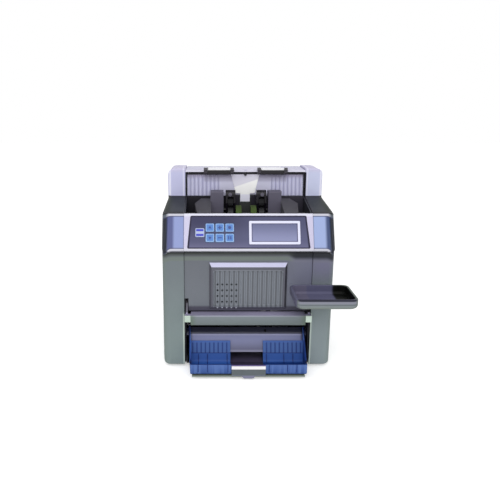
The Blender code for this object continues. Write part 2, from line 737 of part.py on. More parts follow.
def shaft_frame(y, z, mirror=1):
    """The frame of a shaft across the machine: its third axis points right, or left for mirror -1."""
    return Matrix.Translation((0, y, z)) @ Matrix.Diagonal((mirror, 1, 1, 1)) @ ALONG_X


def circle(y, z, radius, count=14):
    turns = [math.tau * i / count for i in range(count)]
    return [(y + radius * math.cos(t), z + radius * math.sin(t)) for t in turns]


def arc_points(before, here, after, radius, steps):
    """The points of one outline corner, rounded to a radius."""
    here = Vector(here)
    back = (Vector(before) - here).normalized()
    ahead = (Vector(after) - here).normalized()
    if not radius:
        return [here]
    half = back.angle(ahead) / 2
    centre = here + (back + ahead).normalized() * radius / math.sin(half)
    reach = radius / math.tan(half)
    first = here + back * reach - centre
    last = here + ahead * reach - centre
    start = math.atan2(first.y, first.x)
    sweep = (math.atan2(last.y, last.x) - start + math.pi) % math.tau - math.pi
    angles = [start + sweep * i / steps for i in range(steps + 1)]
    return [centre + radius * Vector((math.cos(t), math.sin(t))) for t in angles]


def rounded(corners, steps=3):
    """The closed outline through corners of (a, b, radius)."""
    points = []
    for i, (a, b, radius) in enumerate(corners):
        before = corners[i - 1][:2]
        after = corners[(i + 1) % len(corners)][:2]
        points += [tuple(p) for p in arc_points(before, (a, b), after, radius, steps)]
    return points


def rectangle(x0, x1, y0, y1, radius=0.0, steps=2):
    return rounded([(x0, y0, radius), (x1, y0, radius), (x1, y1, radius), (x0, y1, radius)], steps)


def strip(path, thickness):
    """The outline of a bent sheet: an open path and its copy, moved to the left by a thickness."""
    other = []
    for i, here in enumerate(path):
        here = Vector(here)
        back = (here - Vector(path[i - 1])).normalized() if i else None
        ahead = (Vector(path[i + 1]) - here).normalized() if i + 1 < len(path) else None
        along = back or ahead if not (back and ahead) else (back + ahead).normalized()
        side = Vector((-along.y, along.x))
        stretch = side.dot(Vector((-(ahead or back).y, (ahead or back).x)))
        other.append(here + side * thickness / stretch)
    return [tuple(p) for p in path] + [tuple(p) for p in reversed(other)]


def bent(corners, steps=3):
    """An open path through corners of (a, b, radius), its ends left sharp."""
    points = [tuple(corners[0][:2])]
    for before, here, after in zip(corners, corners[1:], corners[2:]):
        points += [tuple(p) for p in arc_points(before[:2], here[:2], after[:2], here[2], steps)]
    return points + [tuple(corners[-1][:2])]


# Corner place, corner radius, then the rounding of the side that follows it.
SIDE_CORNERS = [
    (TOE_Y, BODY_BOTTOM, TOE_RADIUS, ROUND_BOTTOM),
    (REAR_Y, BODY_BOTTOM, HEEL_RADIUS, ROUND_REAR),
    (REAR_Y, REAR_SHOULDER_Z, REAR_SHOULDER_RADIUS, ROUND_BOTTOM),
    (TOP_REAR_Y, BODY_TOP, TOP_REAR_RADIUS, ROUND_TOP),
    (CHEEK_Y, BODY_TOP, CREST_RADIUS, ROUND_CHEEK),
    (CHEEK_Y, CHEEK_FOOT_Z, 0, ROUND_SLOPE),
    (PANEL_TOP_Y, PANEL_TOP_Z, CREST_RADIUS, ROUND_PANEL),
    (PANEL_FOOT_Y, PANEL_FOOT_Z, 0, SHELL_WALL),
    (0, PANEL_FOOT_Z, 0, ROUND_FRONT),
    (0, BODY_BOTTOM + TOE_RISE, 0, ROUND_FRONT),
]


def side_ring(depths):
    """The counter's side outline moved inwards, each side by its own depth, with the same number of points."""
    corners = []
    for i, (a, b, radius, _) in enumerate(SIDE_CORNERS):
        here = Vector((a, b))
        back = (here - Vector(SIDE_CORNERS[i - 1][:2])).normalized()
        ahead = (Vector(SIDE_CORNERS[(i + 1) % len(SIDE_CORNERS)][:2]) - here).normalized()
        turn = back.x * ahead.y - back.y * ahead.x
        shift = (depths[i - 1] * ahead - depths[i] * back) / turn
        tighter = max(radius - (depths[i - 1] + depths[i]) / 2, 0)
        corners.append((here + shift, tighter))
    points = []
    for i, (here, radius) in enumerate(corners):
        arc = arc_points(corners[i - 1][0], here, corners[(i + 1) % len(corners)][0], radius, ROUND_STEPS)
        if SIDE_CORNERS[i][2] and not radius:
            arc = arc * (ROUND_STEPS + 1)
        points += arc
    return points


def corner_rounds():
    """For each point of the side outline, the rounding there, blended from one side to the next."""
    rounds = []
    for i, (_, _, radius, after) in enumerate(SIDE_CORNERS):
        before = SIDE_CORNERS[i - 1][3]
        steps = ROUND_STEPS if radius else 0
        shares = [k / steps for k in range(steps + 1)] if steps else [1 / 2]
        rounds += [before * (1 - share) + after * share for share in shares]
    return rounds


def side_shell(side):
    """The whole side moulding: a deep cup, open towards the machine, its outer rim rounded over."""
    rounds = [corner[3] for corner in SIDE_CORNERS]
    at_points = corner_rounds()
    rings = []

    def ring(depths, places):
        rings.append([(side * x, p.x, p.y) for x, p in zip(places, side_ring(depths))])

    for k in reversed(range(ROUND_STEPS + 1)):
        angle = math.pi / 2 * k / ROUND_STEPS
        fall, rise = 1 - math.cos(angle), 1 - math.sin(angle)
        depths = [SHELL_WALL + (r - SHELL_WALL) * fall for r in rounds]
        ring(depths, [HALF - SHELL_WALL - (r - SHELL_WALL) * rise for r in at_points])
    ring([SHELL_WALL for _ in rounds], [INNER for _ in at_points])
    ring([0 for _ in rounds], [INNER for _ in at_points])
    for k in range(ROUND_STEPS + 1):
        angle = math.pi / 2 * k / ROUND_STEPS
        fall, rise = 1 - math.cos(angle), 1 - math.sin(angle)
        ring([r * fall for r in rounds], [HALF - r * rise for r in at_points])
    bm = loft(rings)
    bmesh.ops.triangulate(bm, faces=bm.faces)
    draw_in_rear(bm, side)
    return bm


def draw_in_rear(bm, side):
    """Makes a side moulding shallower behind the control panel, along a straight run up to the hopper's uprights."""
    for y in (DRAWN_START, DRAWN_END_Y):
        geom = bm.verts[:] + bm.edges[:] + bm.faces[:]
        bmesh.ops.bisect_plane(bm, geom=geom, dist=WELD, plane_co=(0, y, 0), plane_no=(0, 1, 0))
    for vert in bm.verts:
        share = min(max((vert.co.y - DRAWN_START) / (DRAWN_END_Y - DRAWN_START), 0), 1)
        depth_share = (side * vert.co.x - INNER) / (HALF - INNER)
        vert.co.x -= side * DRAWN_IN * share * depth_share
    bmesh.ops.triangulate(bm, faces=bm.faces)


def keep(obj, region, side):
    """Keeps the part of a side moulding that lies in a region of the side view."""
    x0, x1 = sorted((side * (INNER - OVERRUN), side * (HALF + OVERRUN)))
    combine(obj, prism([region], x0, x1, ALONG_X), "INTERSECT")


def make_side(name, side):
    """Cover, panel wing and hopper side: one moulded form, parted along lines square to the control panel."""
    slope = Vector((PANEL_SLOPE_DEPTH, PANEL_RISE)).normalized()
    inward = Vector((slope.y, -slope.x))
    foot, head = Vector((PANEL_FOOT_Y, PANEL_FOOT_Z)), Vector((PANEL_TOP_Y, PANEL_TOP_Z))
    rise, depth = slope * SEAT_GAP / 2, inward * SEAT_GAP / 2
    out, deep = -inward * OVERRUN, inward * WING_DEPTH
    rear = REAR_Y + OVERRUN
    low, high = BODY_BOTTOM - OVERRUN, BODY_TOP + OVERRUN
    rear_low, rear_high = (rear, PART_REAR_Z - SEAT_GAP / 2), (rear, PART_REAR_Z + SEAT_GAP / 2)
    front = (foot + out).x
    cover = piece(f"{name}_side_cover", side_shell(side), "grey_cover", smooth=25)
    keep(cover, [(front, low), (rear, low), rear_low, foot + deep - rise, foot + out - rise], side)
    wing = piece(f"{name}_panel_wing", side_shell(side), "wing_blue", smooth=25)
    band = [foot + out + rise, foot + deep + rise - depth, head + deep - rise - depth, head + out - rise]
    keep(wing, band, side)
    hopper_side = piece(f"{name}_hopper_side", side_shell(side), "lavender", smooth=25)
    back = [rear_high, (rear, high), ((head + out).x, high), head + out + rise]
    keep(hopper_side, [foot + deep + rise + depth] + back + [head + deep + rise + depth], side)


def make_side_frame(name, side):
    """A steel side frame with its bearing holes."""
    insets = [
        FRAME_BOTTOM_INSET,
        FRAME_REAR_INSET,
        FRAME_REAR_INSET,
        FRAME_TOP_INSET,
        FRAME_TOP_INSET,
        FRAME_BOTTOM_INSET,
        FRAME_FRONT_INSET,
        FRAME_FRONT_INSET,
        FRAME_FRONT_INSET,
        FRAME_FRONT_INSET,
    ]
    outline = [tuple(p) for p in dict.fromkeys(p.to_tuple() for p in side_ring(insets))]
    holes = [
        circle(FEED_Y, FEED_Z, SHAFT_RADIUS + RUNNING_GAP),
        circle(DRUM_Y, DRUM_Z, SHAFT_RADIUS + RUNNING_GAP),
        circle(STACKER_Y, STACKER_Z, STACKER_SHAFT_RADIUS + RUNNING_GAP),
        circle(FLAP_AXIS_Y, FLAP_AXIS_Z, FLAP_PIN_RADIUS + RUNNING_GAP),
        circle(DOOR_AXIS_Y, DOOR_AXIS_Z, DOOR_PIN_RADIUS + RUNNING_GAP, 10),
    ]
    if side < 0:
        holes.append(circle(MOTOR_Y, MOTOR_Z, MOTOR_SHAFT_RADIUS + RUNNING_GAP))
    x0, x1 = sorted((side * FRAME_IN, side * FRAME_OUT))
    piece(f"{name}_side_frame", prism([outline] + holes, x0, x1, ALONG_X), "dark_plastic")


def make_base():
    """A folded base plate, with the tongue that carries the stacker trays, on four rubber feet."""
    outer, inner = BETWEEN, BETWEEN - SHEET
    top = BODY_BOTTOM + BASE_FLANGE
    section = [
        (-outer, BODY_BOTTOM), (outer, BODY_BOTTOM), (outer, top), (inner, top),
        (inner, BASE_TOP), (-inner, BASE_TOP), (-inner, top), (-outer, top),
    ]
    base = piece("base_plate", prism([section], BASE_FRONT_Y, REAR_Y - BASE_REAR_INSET, ALONG_Y), "steel")
    tongue_rear = BASE_FRONT_Y + FUSE
    unite(base, box(-TONGUE_HALF, TONGUE_HALF, TONGUE_FRONT_Y, tongue_rear, BODY_BOTTOM, BASE_TOP))
    height = BODY_BOTTOM - SEAT_GAP
    profile = [
        (0, 0), (0, FOOT_RADIUS - FOOT_CHAMFER), (FOOT_CHAMFER, FOOT_RADIUS), (height, FOOT_RADIUS),
        (height, 0),
    ]
    places = [(x, y) for y in (FOOT_FRONT_Y, FOOT_REAR_Y) for x in (-FOOT_X, FOOT_X)]
    for number, (x, y) in enumerate(places, 1):
        piece(f"foot_{number}", turned(profile, Matrix.Translation((x, y, 0))), "rubber", smooth=40)


def pulley(start, radius):
    """The stations of a flanged pulley, outwards from its inner face."""
    end = start + PULLEY_WIDTH
    lip = radius + PULLEY_LIP
    return [
        (start, lip), (start + PULLEY_LIP_WIDTH, lip), (start + PULLEY_LIP_WIDTH, radius),
        (end - PULLEY_LIP_WIDTH, radius), (end - PULLEY_LIP_WIDTH, lip), (end, lip),
    ]


def make_drive():
    """Feed shaft, transport drum, stacker shaft, motor and belts, with stations from right to left."""
    right = -(FRAME_OUT - SEAT_GAP)
    half = FEED_ROLLER_WIDTH / 2
    near, far = PULLEY_START, PULLEY_START + PULLEY_PITCH
    feed = [(right, 0), (right, SHAFT_RADIUS)]
    for centre in (-ARM_X, ARM_X):
        feed += [
            (centre - half, SHAFT_RADIUS), (centre - half, FEED_ROLLER_RADIUS),
            (centre + half, FEED_ROLLER_RADIUS), (centre + half, SHAFT_RADIUS),
        ]
    far_pulley = pulley(far, FEED_PULLEY_RADIUS)
    feed += [(far, SHAFT_RADIUS)] + far_pulley + [(far + PULLEY_WIDTH, 0)]
    shaft = turned(feed, shaft_frame(FEED_Y, FEED_Z, -1))
    piece("feed_shaft", shaft, "dark_plastic", (0, FEED_Y, FEED_Z), 40)

    drum = [(right, 0), (right, SHAFT_RADIUS), (-DRUM_HALF, SHAFT_RADIUS), (-DRUM_HALF, DRUM_RADIUS)]
    tyre = DRUM_TYRE_WIDTH / 2
    for centre in (-ARM_X, ARM_X):
        drum += [
            (centre - tyre, DRUM_RADIUS), (centre - tyre, DRUM_TYRE_RADIUS),
            (centre + tyre, DRUM_TYRE_RADIUS), (centre + tyre, DRUM_RADIUS),
        ]
    drum += [(DRUM_HALF, DRUM_RADIUS), (DRUM_HALF, SHAFT_RADIUS), (near, SHAFT_RADIUS)]
    drum += pulley(near, DRUM_PULLEY_RADIUS) + [(near + PULLEY_WIDTH, SHAFT_RADIUS), (far, SHAFT_RADIUS)]
    drum += pulley(far, DRUM_PULLEY_RADIUS) + [(far + PULLEY_WIDTH, 0)]
    bm = turned(drum, shaft_frame(DRUM_Y, DRUM_Z, -1), 20)
    piece("transport_drum", bm, "rubber", (0, DRUM_Y, DRUM_Z), 40)

    shaft = [(right, 0), (right, STACKER_SHAFT_RADIUS), (near, STACKER_SHAFT_RADIUS)]
    shaft += pulley(near, STACKER_PULLEY_RADIUS) + [(near + PULLEY_WIDTH, 0)]
    bm = turned(shaft, shaft_frame(STACKER_Y, STACKER_Z, -1), 14)
    piece("stacker_shaft", bm, "steel", (0, STACKER_Y, STACKER_Z), 40)

    back = BETWEEN - MOTOR_BOSS - MOTOR_LENGTH
    front = BETWEEN - MOTOR_BOSS
    motor = [
        (back, 0), (back, MOTOR_RADIUS - MOTOR_BAND), (back + MOTOR_BAND, MOTOR_RADIUS),
        (front - MOTOR_BAND, MOTOR_RADIUS), (front, MOTOR_RADIUS - MOTOR_BAND),
        (front, MOTOR_BOSS_RADIUS), (BETWEEN, MOTOR_BOSS_RADIUS), (BETWEEN, 0),
    ]
    piece("drive_motor", turned(motor, shaft_frame(MOTOR_Y, MOTOR_Z, -1), 20), "steel", smooth=40)
    stub = [(FRAME_IN, 0), (FRAME_IN, MOTOR_SHAFT_RADIUS), (near, MOTOR_SHAFT_RADIUS)]
    stub += pulley(near, MOTOR_PULLEY_RADIUS) + [(near + PULLEY_WIDTH, 0)]
    bm = turned(stub, shaft_frame(MOTOR_Y, MOTOR_Z, -1), 14)
    piece("motor_pulley", bm, "steel", (0, MOTOR_Y, MOTOR_Z), 40)

    drum_wheel = (DRUM_Y, DRUM_Z, DRUM_PULLEY_RADIUS)
    stacker_wheel = (STACKER_Y, STACKER_Z, STACKER_PULLEY_RADIUS)
    motor_wheel = (MOTOR_Y, MOTOR_Z, MOTOR_PULLEY_RADIUS)
    make_belt("drive_belt", near, [drum_wheel, stacker_wheel, motor_wheel])
    make_belt("feed_belt", far, [drum_wheel, (FEED_Y, FEED_Z, FEED_PULLEY_RADIUS)])


def belt_loop(wheels, lift):
    """The tight loop around wheels of (y, z, radius), lifted off them: the outer hull of their circles."""
    points = sorted(p for y, z, radius in wheels for p in circle(y, z, radius + lift, 20))

    def chain(run):
        hull = []
        for p in run:
            while len(hull) > 1 and turn_of(hull[-2], hull[-1], p) <= 0:
                hull.pop()
            hull.append(p)
        return hull[:-1]

    return chain(points) + chain(points[::-1])


def turn_of(a, b, c):
    return (b[0] - a[0]) * (c[1] - a[1]) - (b[1] - a[1]) * (c[0] - a[0])


def make_belt(name, start, wheels):
    outer = belt_loop(wheels, SEAT_GAP + BELT_THICK)
    inner = belt_loop(wheels, SEAT_GAP)
    middle = start + PULLEY_WIDTH / 2
    room = PULLEY_WIDTH - 2 * PULLEY_LIP_WIDTH - 2 * SEAT_GAP
    half = min(BELT_WIDTH, room) / 2
    piece(name, prism([outer, inner], -middle - half, -middle + half, ALONG_X), "rubber")


def make_kicker(name, side):
    """A feed wheel with a bore, a round core and a raised rubber lobe over part of its turn."""
    count = 24
    outline = []
    for i in range(count):
        angle = 360.0 * i / count
        radius = KICKER_RADIUS if angle <= KICKER_LOBE else KICKER_CORE_RADIUS
        turn = math.radians(angle + KICKER_LOBE_START)
        outline.append((FEED_Y + radius * math.cos(turn), FEED_Z + radius * math.sin(turn)))
    bore = circle(FEED_Y, FEED_Z, SHAFT_RADIUS + SEAT_GAP, 12)
    x0, x1 = sorted((side * (KICKER_X - KICKER_WIDTH / 2), side * (KICKER_X + KICKER_WIDTH / 2)))
    bm = prism([outline, bore], x0, x1, ALONG_X)
    piece(f"{name}_kicker_roller", bm, "green_rubber", (0, FEED_Y, FEED_Z), 30)


def make_arm(name, side):
    """A black separator arm: a fork over its roller, a bridge at the top and a lug into the guide block."""
    middle = side * ARM_X
    x0, x1 = middle - ARM_WIDTH / 2, middle + ARM_WIDTH / 2
    waist_z = ARM_ROLLER_Z
    profile = rounded(
        [
            (ARM_FRONT_Y + ARM_WAIST, ARM_FOOT_Z, BLOCK_RADIUS),
            (ARM_REAR_Y - ARM_WAIST, ARM_FOOT_Z, BLOCK_RADIUS),
            (ARM_REAR_Y, waist_z, BLOCK_RADIUS),
            (ARM_REAR_Y, ARM_TOP_Z, ARM_TOP_RADIUS),
            (ARM_FRONT_Y + ARM_WAIST, ARM_TOP_Z, ARM_TOP_RADIUS),
            (ARM_FRONT_Y, waist_z, BLOCK_RADIUS),
        ],
        2,
    )
    arm = piece(f"{name}_roller_arm", prism([profile], x0, x1, ALONG_X), "black_plastic", smooth=30)
    slot0, slot1 = middle - ARM_SLOT / 2, middle + ARM_SLOT / 2
    front, rear = ARM_FRONT_Y - OVERRUN, ARM_REAR_Y + OVERRUN
    cut(arm, box(slot0, slot1, front, rear, ARM_FOOT_Z - OVERRUN, ARM_BRIDGE_Z))
    axle_hole = [circle(ARM_ROLLER_Y, ARM_ROLLER_Z, ARM_AXLE_RADIUS + RUNNING_GAP, 10)]
    cut(arm, prism(axle_hole, x0 - OVERRUN, x1 + OVERRUN, ALONG_X))
    shaft_hole = [circle(FEED_Y, FEED_Z, SHAFT_RADIUS + 2 * RUNNING_GAP, 12)]
    cut(arm, prism(shaft_hole, x0 - OVERRUN, x1 + OVERRUN, ALONG_X))
    lug0, lug1 = sorted((side * (ARM_X + ARM_WIDTH / 2 - FUSE), side * (BLOCK_IN - SEAT_GAP)))
    unite(arm, prism([circle(ARM_LUG_Y, ARM_LUG_Z, ARM_LUG_RADIUS, 12)], lug0, lug1, ALONG_X))

    half = FEED_ROLLER_WIDTH / 2
    stations = [
        (middle - ARM_AXLE_HALF, 0), (middle - ARM_AXLE_HALF, ARM_AXLE_RADIUS),
        (middle - half, ARM_AXLE_RADIUS), (middle - half, ARM_ROLLER_RADIUS),
        (middle + half, ARM_ROLLER_RADIUS), (middle + half, ARM_AXLE_RADIUS),
        (middle + ARM_AXLE_HALF, ARM_AXLE_RADIUS), (middle + ARM_AXLE_HALF, 0),
    ]
    bm = turned(stations, shaft_frame(ARM_ROLLER_Y, ARM_ROLLER_Z), 14)
    piece(f"{name}_arm_roller", bm, "rubber", (middle, ARM_ROLLER_Y, ARM_ROLLER_Z), 40)


def bed_height(y):
    return BED_FRONT_Z + (BED_REAR_Z - BED_FRONT_Z) * (y - BED_FRONT_Y) / (BED_REAR_Y - BED_FRONT_Y)


def bed(side):
    """One sloping half of the note bed, its outer rear corner cut off."""
    plan = [
        (BLOCK_OUT - FUSE, BED_FRONT_Y), (BED_OUT - BED_FRONT_DRAW, BED_FRONT_Y), (BED_OUT, BED_CORNER_Y),
        (BED_REAR_OUT, BED_REAR_Y), (BLOCK_OUT - FUSE, BED_REAR_Y),
    ]
    base = DECK_BOTTOM + DECK_THICK - FUSE
    rings = [[(side * x, y, base) for x, y in plan], [(side * x, y, bed_height(y)) for x, y in plan]]
    return loft(rings)


def make_hopper_floor():
    """The dark moulding under the notes: deck, throat, sloping beds, guide blocks and a rear step."""
    outline = [
        (-BETWEEN, DECK_FRONT_Y), (BETWEEN, DECK_FRONT_Y), (BETWEEN, DECK_REAR_Y), (-BETWEEN, DECK_REAR_Y),
    ]
    step_front = DECK_REAR_Y - STEP_THICK
    throat = [
        (-THROAT_HALF, THROAT_FRONT_Y), (THROAT_HALF, THROAT_FRONT_Y),
        (THROAT_HALF, step_front), (-THROAT_HALF, step_front),
    ]
    deck_top = DECK_BOTTOM + DECK_THICK
    floor = piece("hopper_floor", prism([outline, throat], DECK_BOTTOM, deck_top), "dark_plastic")
    sill_rear = DECK_FRONT_Y + DECK_THICK
    unite(floor, box(-BETWEEN, BETWEEN, DECK_FRONT_Y, sill_rear, DECK_BOTTOM, BED_FRONT_Z))
    for side in (-1, 1):
        x0, x1 = sorted((side * TONGUE_SLOT_HALF, side * BETWEEN))
        unite(floor, box(x0, x1, step_front, DECK_REAR_Y, DECK_BOTTOM, STEP_TOP_Z))
        unite(floor, bed(side))
        x0, x1 = sorted((side * BLOCK_IN, side * BLOCK_OUT))
        profile = rounded(
            [
                (BLOCK_FRONT_Y, deck_top - FUSE, 0), (step_front + FUSE, deck_top - FUSE, 0),
                (step_front + FUSE, BLOCK_TOP_Z, BLOCK_RADIUS), (BLOCK_FRONT_Y, BLOCK_TOP_Z, BLOCK_RADIUS),
            ],
            2,
        )
        unite(floor, prism([profile], x0, x1, ALONG_X))
    half = SHAFT_RADIUS + RUNNING_GAP
    channel = rounded(
        [
            (FEED_Y - half, DECK_BOTTOM - OVERRUN, 0), (FEED_Y + half, DECK_BOTTOM - OVERRUN, 0),
            (FEED_Y + half, FEED_Z + half, half - WELD), (FEED_Y - half, FEED_Z + half, half - WELD),
        ],
        4,
    )
    cut(floor, prism([channel], -BETWEEN - OVERRUN, BETWEEN + OVERRUN, ALONG_X))


def wall_frame(out_axis):
    """The back wall's frame: X across, then height up its slope and the normal to the front, in either order."""
    rise = Vector((0, WALL_HEAD_Y - WALL_FOOT_Y, WALL_HEAD_Z - WALL_FOOT_Z)).normalized()
    across = Vector((1, 0, 0))
    normal = across.cross(rise)
    columns = (across, rise, normal) if out_axis == "normal" else (across, normal, rise)
    frame = Matrix.Identity(4)
    for index, column in enumerate(columns):
        for row in range(3):
            frame[row][index] = column[row]
    frame.translation = (0, WALL_FOOT_Y, WALL_FOOT_Z)
    return frame


def up_wall(z):
    """The distance up the wall's slope at a height."""
    rise = WALL_HEAD_Z - WALL_FOOT_Z
    return (z - WALL_FOOT_Z) * math.hypot(rise, WALL_HEAD_Y - WALL_FOOT_Y) / rise


def make_back_wall():
    """The ribbed wall that the notes lean on. Its plan section is drawn once and drawn up the slope."""
    front = []
    for side in (-1, 1):
        row = [side * (RIB_FIRST_X + RIB_PITCH * i) for i in range(RIB_COUNT)]
        for x in sorted(row):
            half = RIB_WIDTH / 2
            front += [
                (x - half, 0), (x - half + RIB_SLOPE, RIB_RISE),
                (x + half - RIB_SLOPE, RIB_RISE), (x + half, 0),
            ]
    outline = [(-BETWEEN, -WALL_THICK), (-BETWEEN, 0)] + front + [(BETWEEN, 0), (BETWEEN, -WALL_THICK)]
    piece("hopper_back_wall", prism([outline], 0, up_wall(WALL_HEAD_Z), wall_frame("height")), "lavender")

    top, waist, foot, tip = (up_wall(z) for z in (GUIDE_TOP_Z, GUIDE_WAIST_Z, GUIDE_FOOT_Z, GUIDE_TONGUE_Z))
    right = [
        (GUIDE_NOTCH_HALF, top, 0), (GUIDE_TOP_HALF, top, 0), (GUIDE_FOOT_HALF, waist, GUIDE_FOOT_RADIUS),
        (GUIDE_FOOT_HALF, foot, GUIDE_FOOT_RADIUS), (GUIDE_TONGUE_HALF, foot, 0), (GUIDE_TONGUE_HALF, tip, 0),
    ]
    left = [(-x, v, r) for x, v, r in reversed(right)]
    notch = [(0, top - GUIDE_NOTCH_DEPTH, 0)]
    outline = rounded((notch + right + left)[::-1], 2)
    bm = prism([outline], SEAT_GAP, SEAT_GAP + GUIDE_THICK, wall_frame("normal"))
    piece("centre_guide", bm, "white_gloss")


def make_top_rail():
    """The rail over the hopper: recesses for the two note supports, hinge ears and the gap screw's hole."""
    half = INNER - SEAT_GAP
    under = RAIL_TOP - RAIL_THICK
    rail = piece("top_rail", box(-half, half, CHEEK_Y, RAIL_REAR_Y, under, RAIL_TOP), "lavender")
    recess_floor = RAIL_TOP - RECESS_DEPTH
    for side in (-1, 1):
        x0, x1 = sorted((side * (EAR_IN_X + EAR_WIDTH / 2), side * (EAR_OUT_X - EAR_WIDTH / 2)))
        rear = CHEEK_Y + SUPPORT_LENGTH
        cut(rail, box(x0, x1, CHEEK_Y - OVERRUN, rear, recess_floor, RAIL_TOP + OVERRUN))
        cut(rail, box(x0, x1, CHEEK_Y - OVERRUN, LIP_NOTCH_REAR_Y, under - OVERRUN, RAIL_TOP + OVERRUN))
        profile = rounded(
            [
                (EAR_FRONT_Y, EAR_FOOT_Z, EAR_RADIUS / 2), (EAR_REAR_Y, EAR_FOOT_Z, EAR_RADIUS / 2),
                (EAR_REAR_Y, EAR_TOP_Z, EAR_RADIUS), (EAR_FRONT_Y, EAR_TOP_Z, EAR_RADIUS),
            ],
            2,
        )
        pin_hole = circle(SUPPORT_AXIS_Y, SUPPORT_AXIS_Z, SUPPORT_PIN_RADIUS + RUNNING_GAP, 10)
        for middle in (EAR_IN_X, EAR_OUT_X):
            x0, x1 = side * middle - EAR_WIDTH / 2, side * middle + EAR_WIDTH / 2
            unite(rail, prism([profile, pin_hole], x0, x1, ALONG_X))
    shank = [(0, SCREW_Y)]
    hole = [(x + a, y + b) for x, y in shank for a, b in circle(0, 0, SCREW_RADIUS + RUNNING_GAP, 12)]
    sink = [(x + a, y + b) for x, y in shank for a, b in circle(0, 0, SCREW_HEAD_RADIUS + RUNNING_GAP, 16)]
    cut(rail, prism([hole], under - OVERRUN, RAIL_TOP + OVERRUN))
    cut(rail, prism([sink], RAIL_TOP - SCREW_HEAD - SEAT_GAP, RAIL_TOP + OVERRUN))
    stations = [
        (SCREW_FOOT_Z, 0), (SCREW_FOOT_Z, SCREW_RADIUS / 2), (SCREW_FOOT_Z + SCREW_RADIUS / 2, SCREW_RADIUS),
        (RAIL_TOP - SCREW_HEAD, SCREW_RADIUS), (RAIL_TOP - SCREW_HEAD, SCREW_HEAD_RADIUS),
        (RAIL_TOP, SCREW_HEAD_RADIUS), (RAIL_TOP, 0),
    ]
    bm = turned(stations, Matrix.Translation((0, SCREW_Y, 0)), 16)
    screw = piece("gap_screw", bm, "black_plastic", (0, SCREW_Y, RAIL_TOP), 40)
    reach = SCREW_HEAD_RADIUS + OVERRUN
    slot_half = SCREW_SLOT / 2
    slot_low, slot_high = RAIL_TOP - SCREW_SLOT_DEPTH, RAIL_TOP + OVERRUN
    cut(screw, box(-reach, reach, SCREW_Y - slot_half, SCREW_Y + slot_half, slot_low, slot_high))


def make_note_support(name, side):
    """A plate that lies flush in the rail and flips up on two pins, with a lip hanging at its front."""
    inner = EAR_IN_X + EAR_WIDTH / 2 + SUPPORT_SIDE_GAP
    outer = EAR_OUT_X - EAR_WIDTH / 2 - SUPPORT_SIDE_GAP
    x0, x1 = sorted((side * inner, side * outer))
    half_lip = SUPPORT_LIP_THICK / 2
    under = RAIL_TOP - SUPPORT_SHEET + SEAT_GAP
    top = RAIL_TOP + SEAT_GAP
    rear = CHEEK_Y + SUPPORT_LENGTH - SUPPORT_SIDE_GAP
    front = SUPPORT_AXIS_Y - half_lip
    profile = rounded(
        [
            (front, SUPPORT_LIP_FOOT_Z, half_lip / 2),
            (SUPPORT_AXIS_Y + half_lip, SUPPORT_LIP_FOOT_Z, half_lip / 2),
            (SUPPORT_AXIS_Y + half_lip, under, 0), (rear, under, 0),
            (rear, top, half_lip / 2), (front, top, half_lip),
        ],
        2,
    )
    pivot = (0, SUPPORT_AXIS_Y, SUPPORT_AXIS_Z)
    support = piece(f"{name}_note_support", prism([profile], x0, x1, ALONG_X), "black_plastic", smooth=30)
    for end, way in ((x0, -1), (x1, 1)):
        near, far = sorted((end - way * FUSE, end + way * SUPPORT_PIN))
        pin = [circle(SUPPORT_AXIS_Y, SUPPORT_AXIS_Z, SUPPORT_PIN_RADIUS, 10)]
        unite(support, prism(pin, near, far, ALONG_X))
    move_origin(support, pivot)


def move_origin(obj, pivot):
    """Puts an object's origin on its joint axis without moving its shape."""
    obj.data.transform(Matrix.Translation(-Vector(pivot)))
    obj.location = pivot


def make_rear():
    """The fixed rear cover with its vents, and the door above it, which swings down on a barrel hinge."""
    skin = REAR_SKIN_Y
    low = BASE_TOP + SEAT_GAP
    cover = piece(
        "rear_cover", box(-BETWEEN, BETWEEN, skin - DOOR_SKIN, skin, low, REAR_COVER_TOP), "grey_cover"
    )
    y0, y1 = skin - DOOR_SKIN - OVERRUN, skin + OVERRUN
    opening = SEAT_GAP
    cut(
        cover,
        box(
            INLET_X - INLET_WIDTH / 2 - opening, INLET_X + INLET_WIDTH / 2 + opening, y0, y1,
            INLET_Z - INLET_HEIGHT / 2 - opening, INLET_Z + INLET_HEIGHT / 2 + opening,
        ),
    )
    slots = []
    for i in range(VENT_COUNT):
        x = VENT_X + VENT_PITCH * i
        outline = rectangle(
            x - VENT_WIDTH / 2, x + VENT_WIDTH / 2, VENT_Z - VENT_HEIGHT / 2, VENT_Z + VENT_HEIGHT / 2,
            VENT_WIDTH / 2 - SEAT_GAP,
        )
        slots.append(prism([outline], y0, y1, ALONG_Y))
    cut(cover, merged(*slots))

    skin_points = [tuple(p) for p in side_ring([FRAME_REAR_INSET for _ in SIDE_CORNERS])]
    head_y = RAIL_REAR_Y + DOOR_TOP_GAP
    path = [(skin, DOOR_AXIS_Z)]
    path += [p for p in skin_points if p[1] > DOOR_AXIS_Z + OVERRUN and p[0] > TOP_REAR_Y + OVERRUN]
    path += [(head_y, RAIL_TOP)]
    outline = strip(path, DOOR_SKIN)
    door = piece("rear_door", prism([outline], -BETWEEN, BETWEEN, ALONG_X), "grey_cover", smooth=30)
    stations = [
        (-FRAME_OUT, 0), (-FRAME_OUT, DOOR_PIN_RADIUS), (-BETWEEN, DOOR_PIN_RADIUS),
        (-BETWEEN, DOOR_BARREL_RADIUS), (BETWEEN, DOOR_BARREL_RADIUS), (BETWEEN, DOOR_PIN_RADIUS),
        (FRAME_OUT, DOOR_PIN_RADIUS), (FRAME_OUT, 0),
    ]
    unite(door, turned(stations, shaft_frame(DOOR_AXIS_Y, DOOR_AXIS_Z), 12))
    move_origin(door, (0, DOOR_AXIS_Y, DOOR_AXIS_Z))


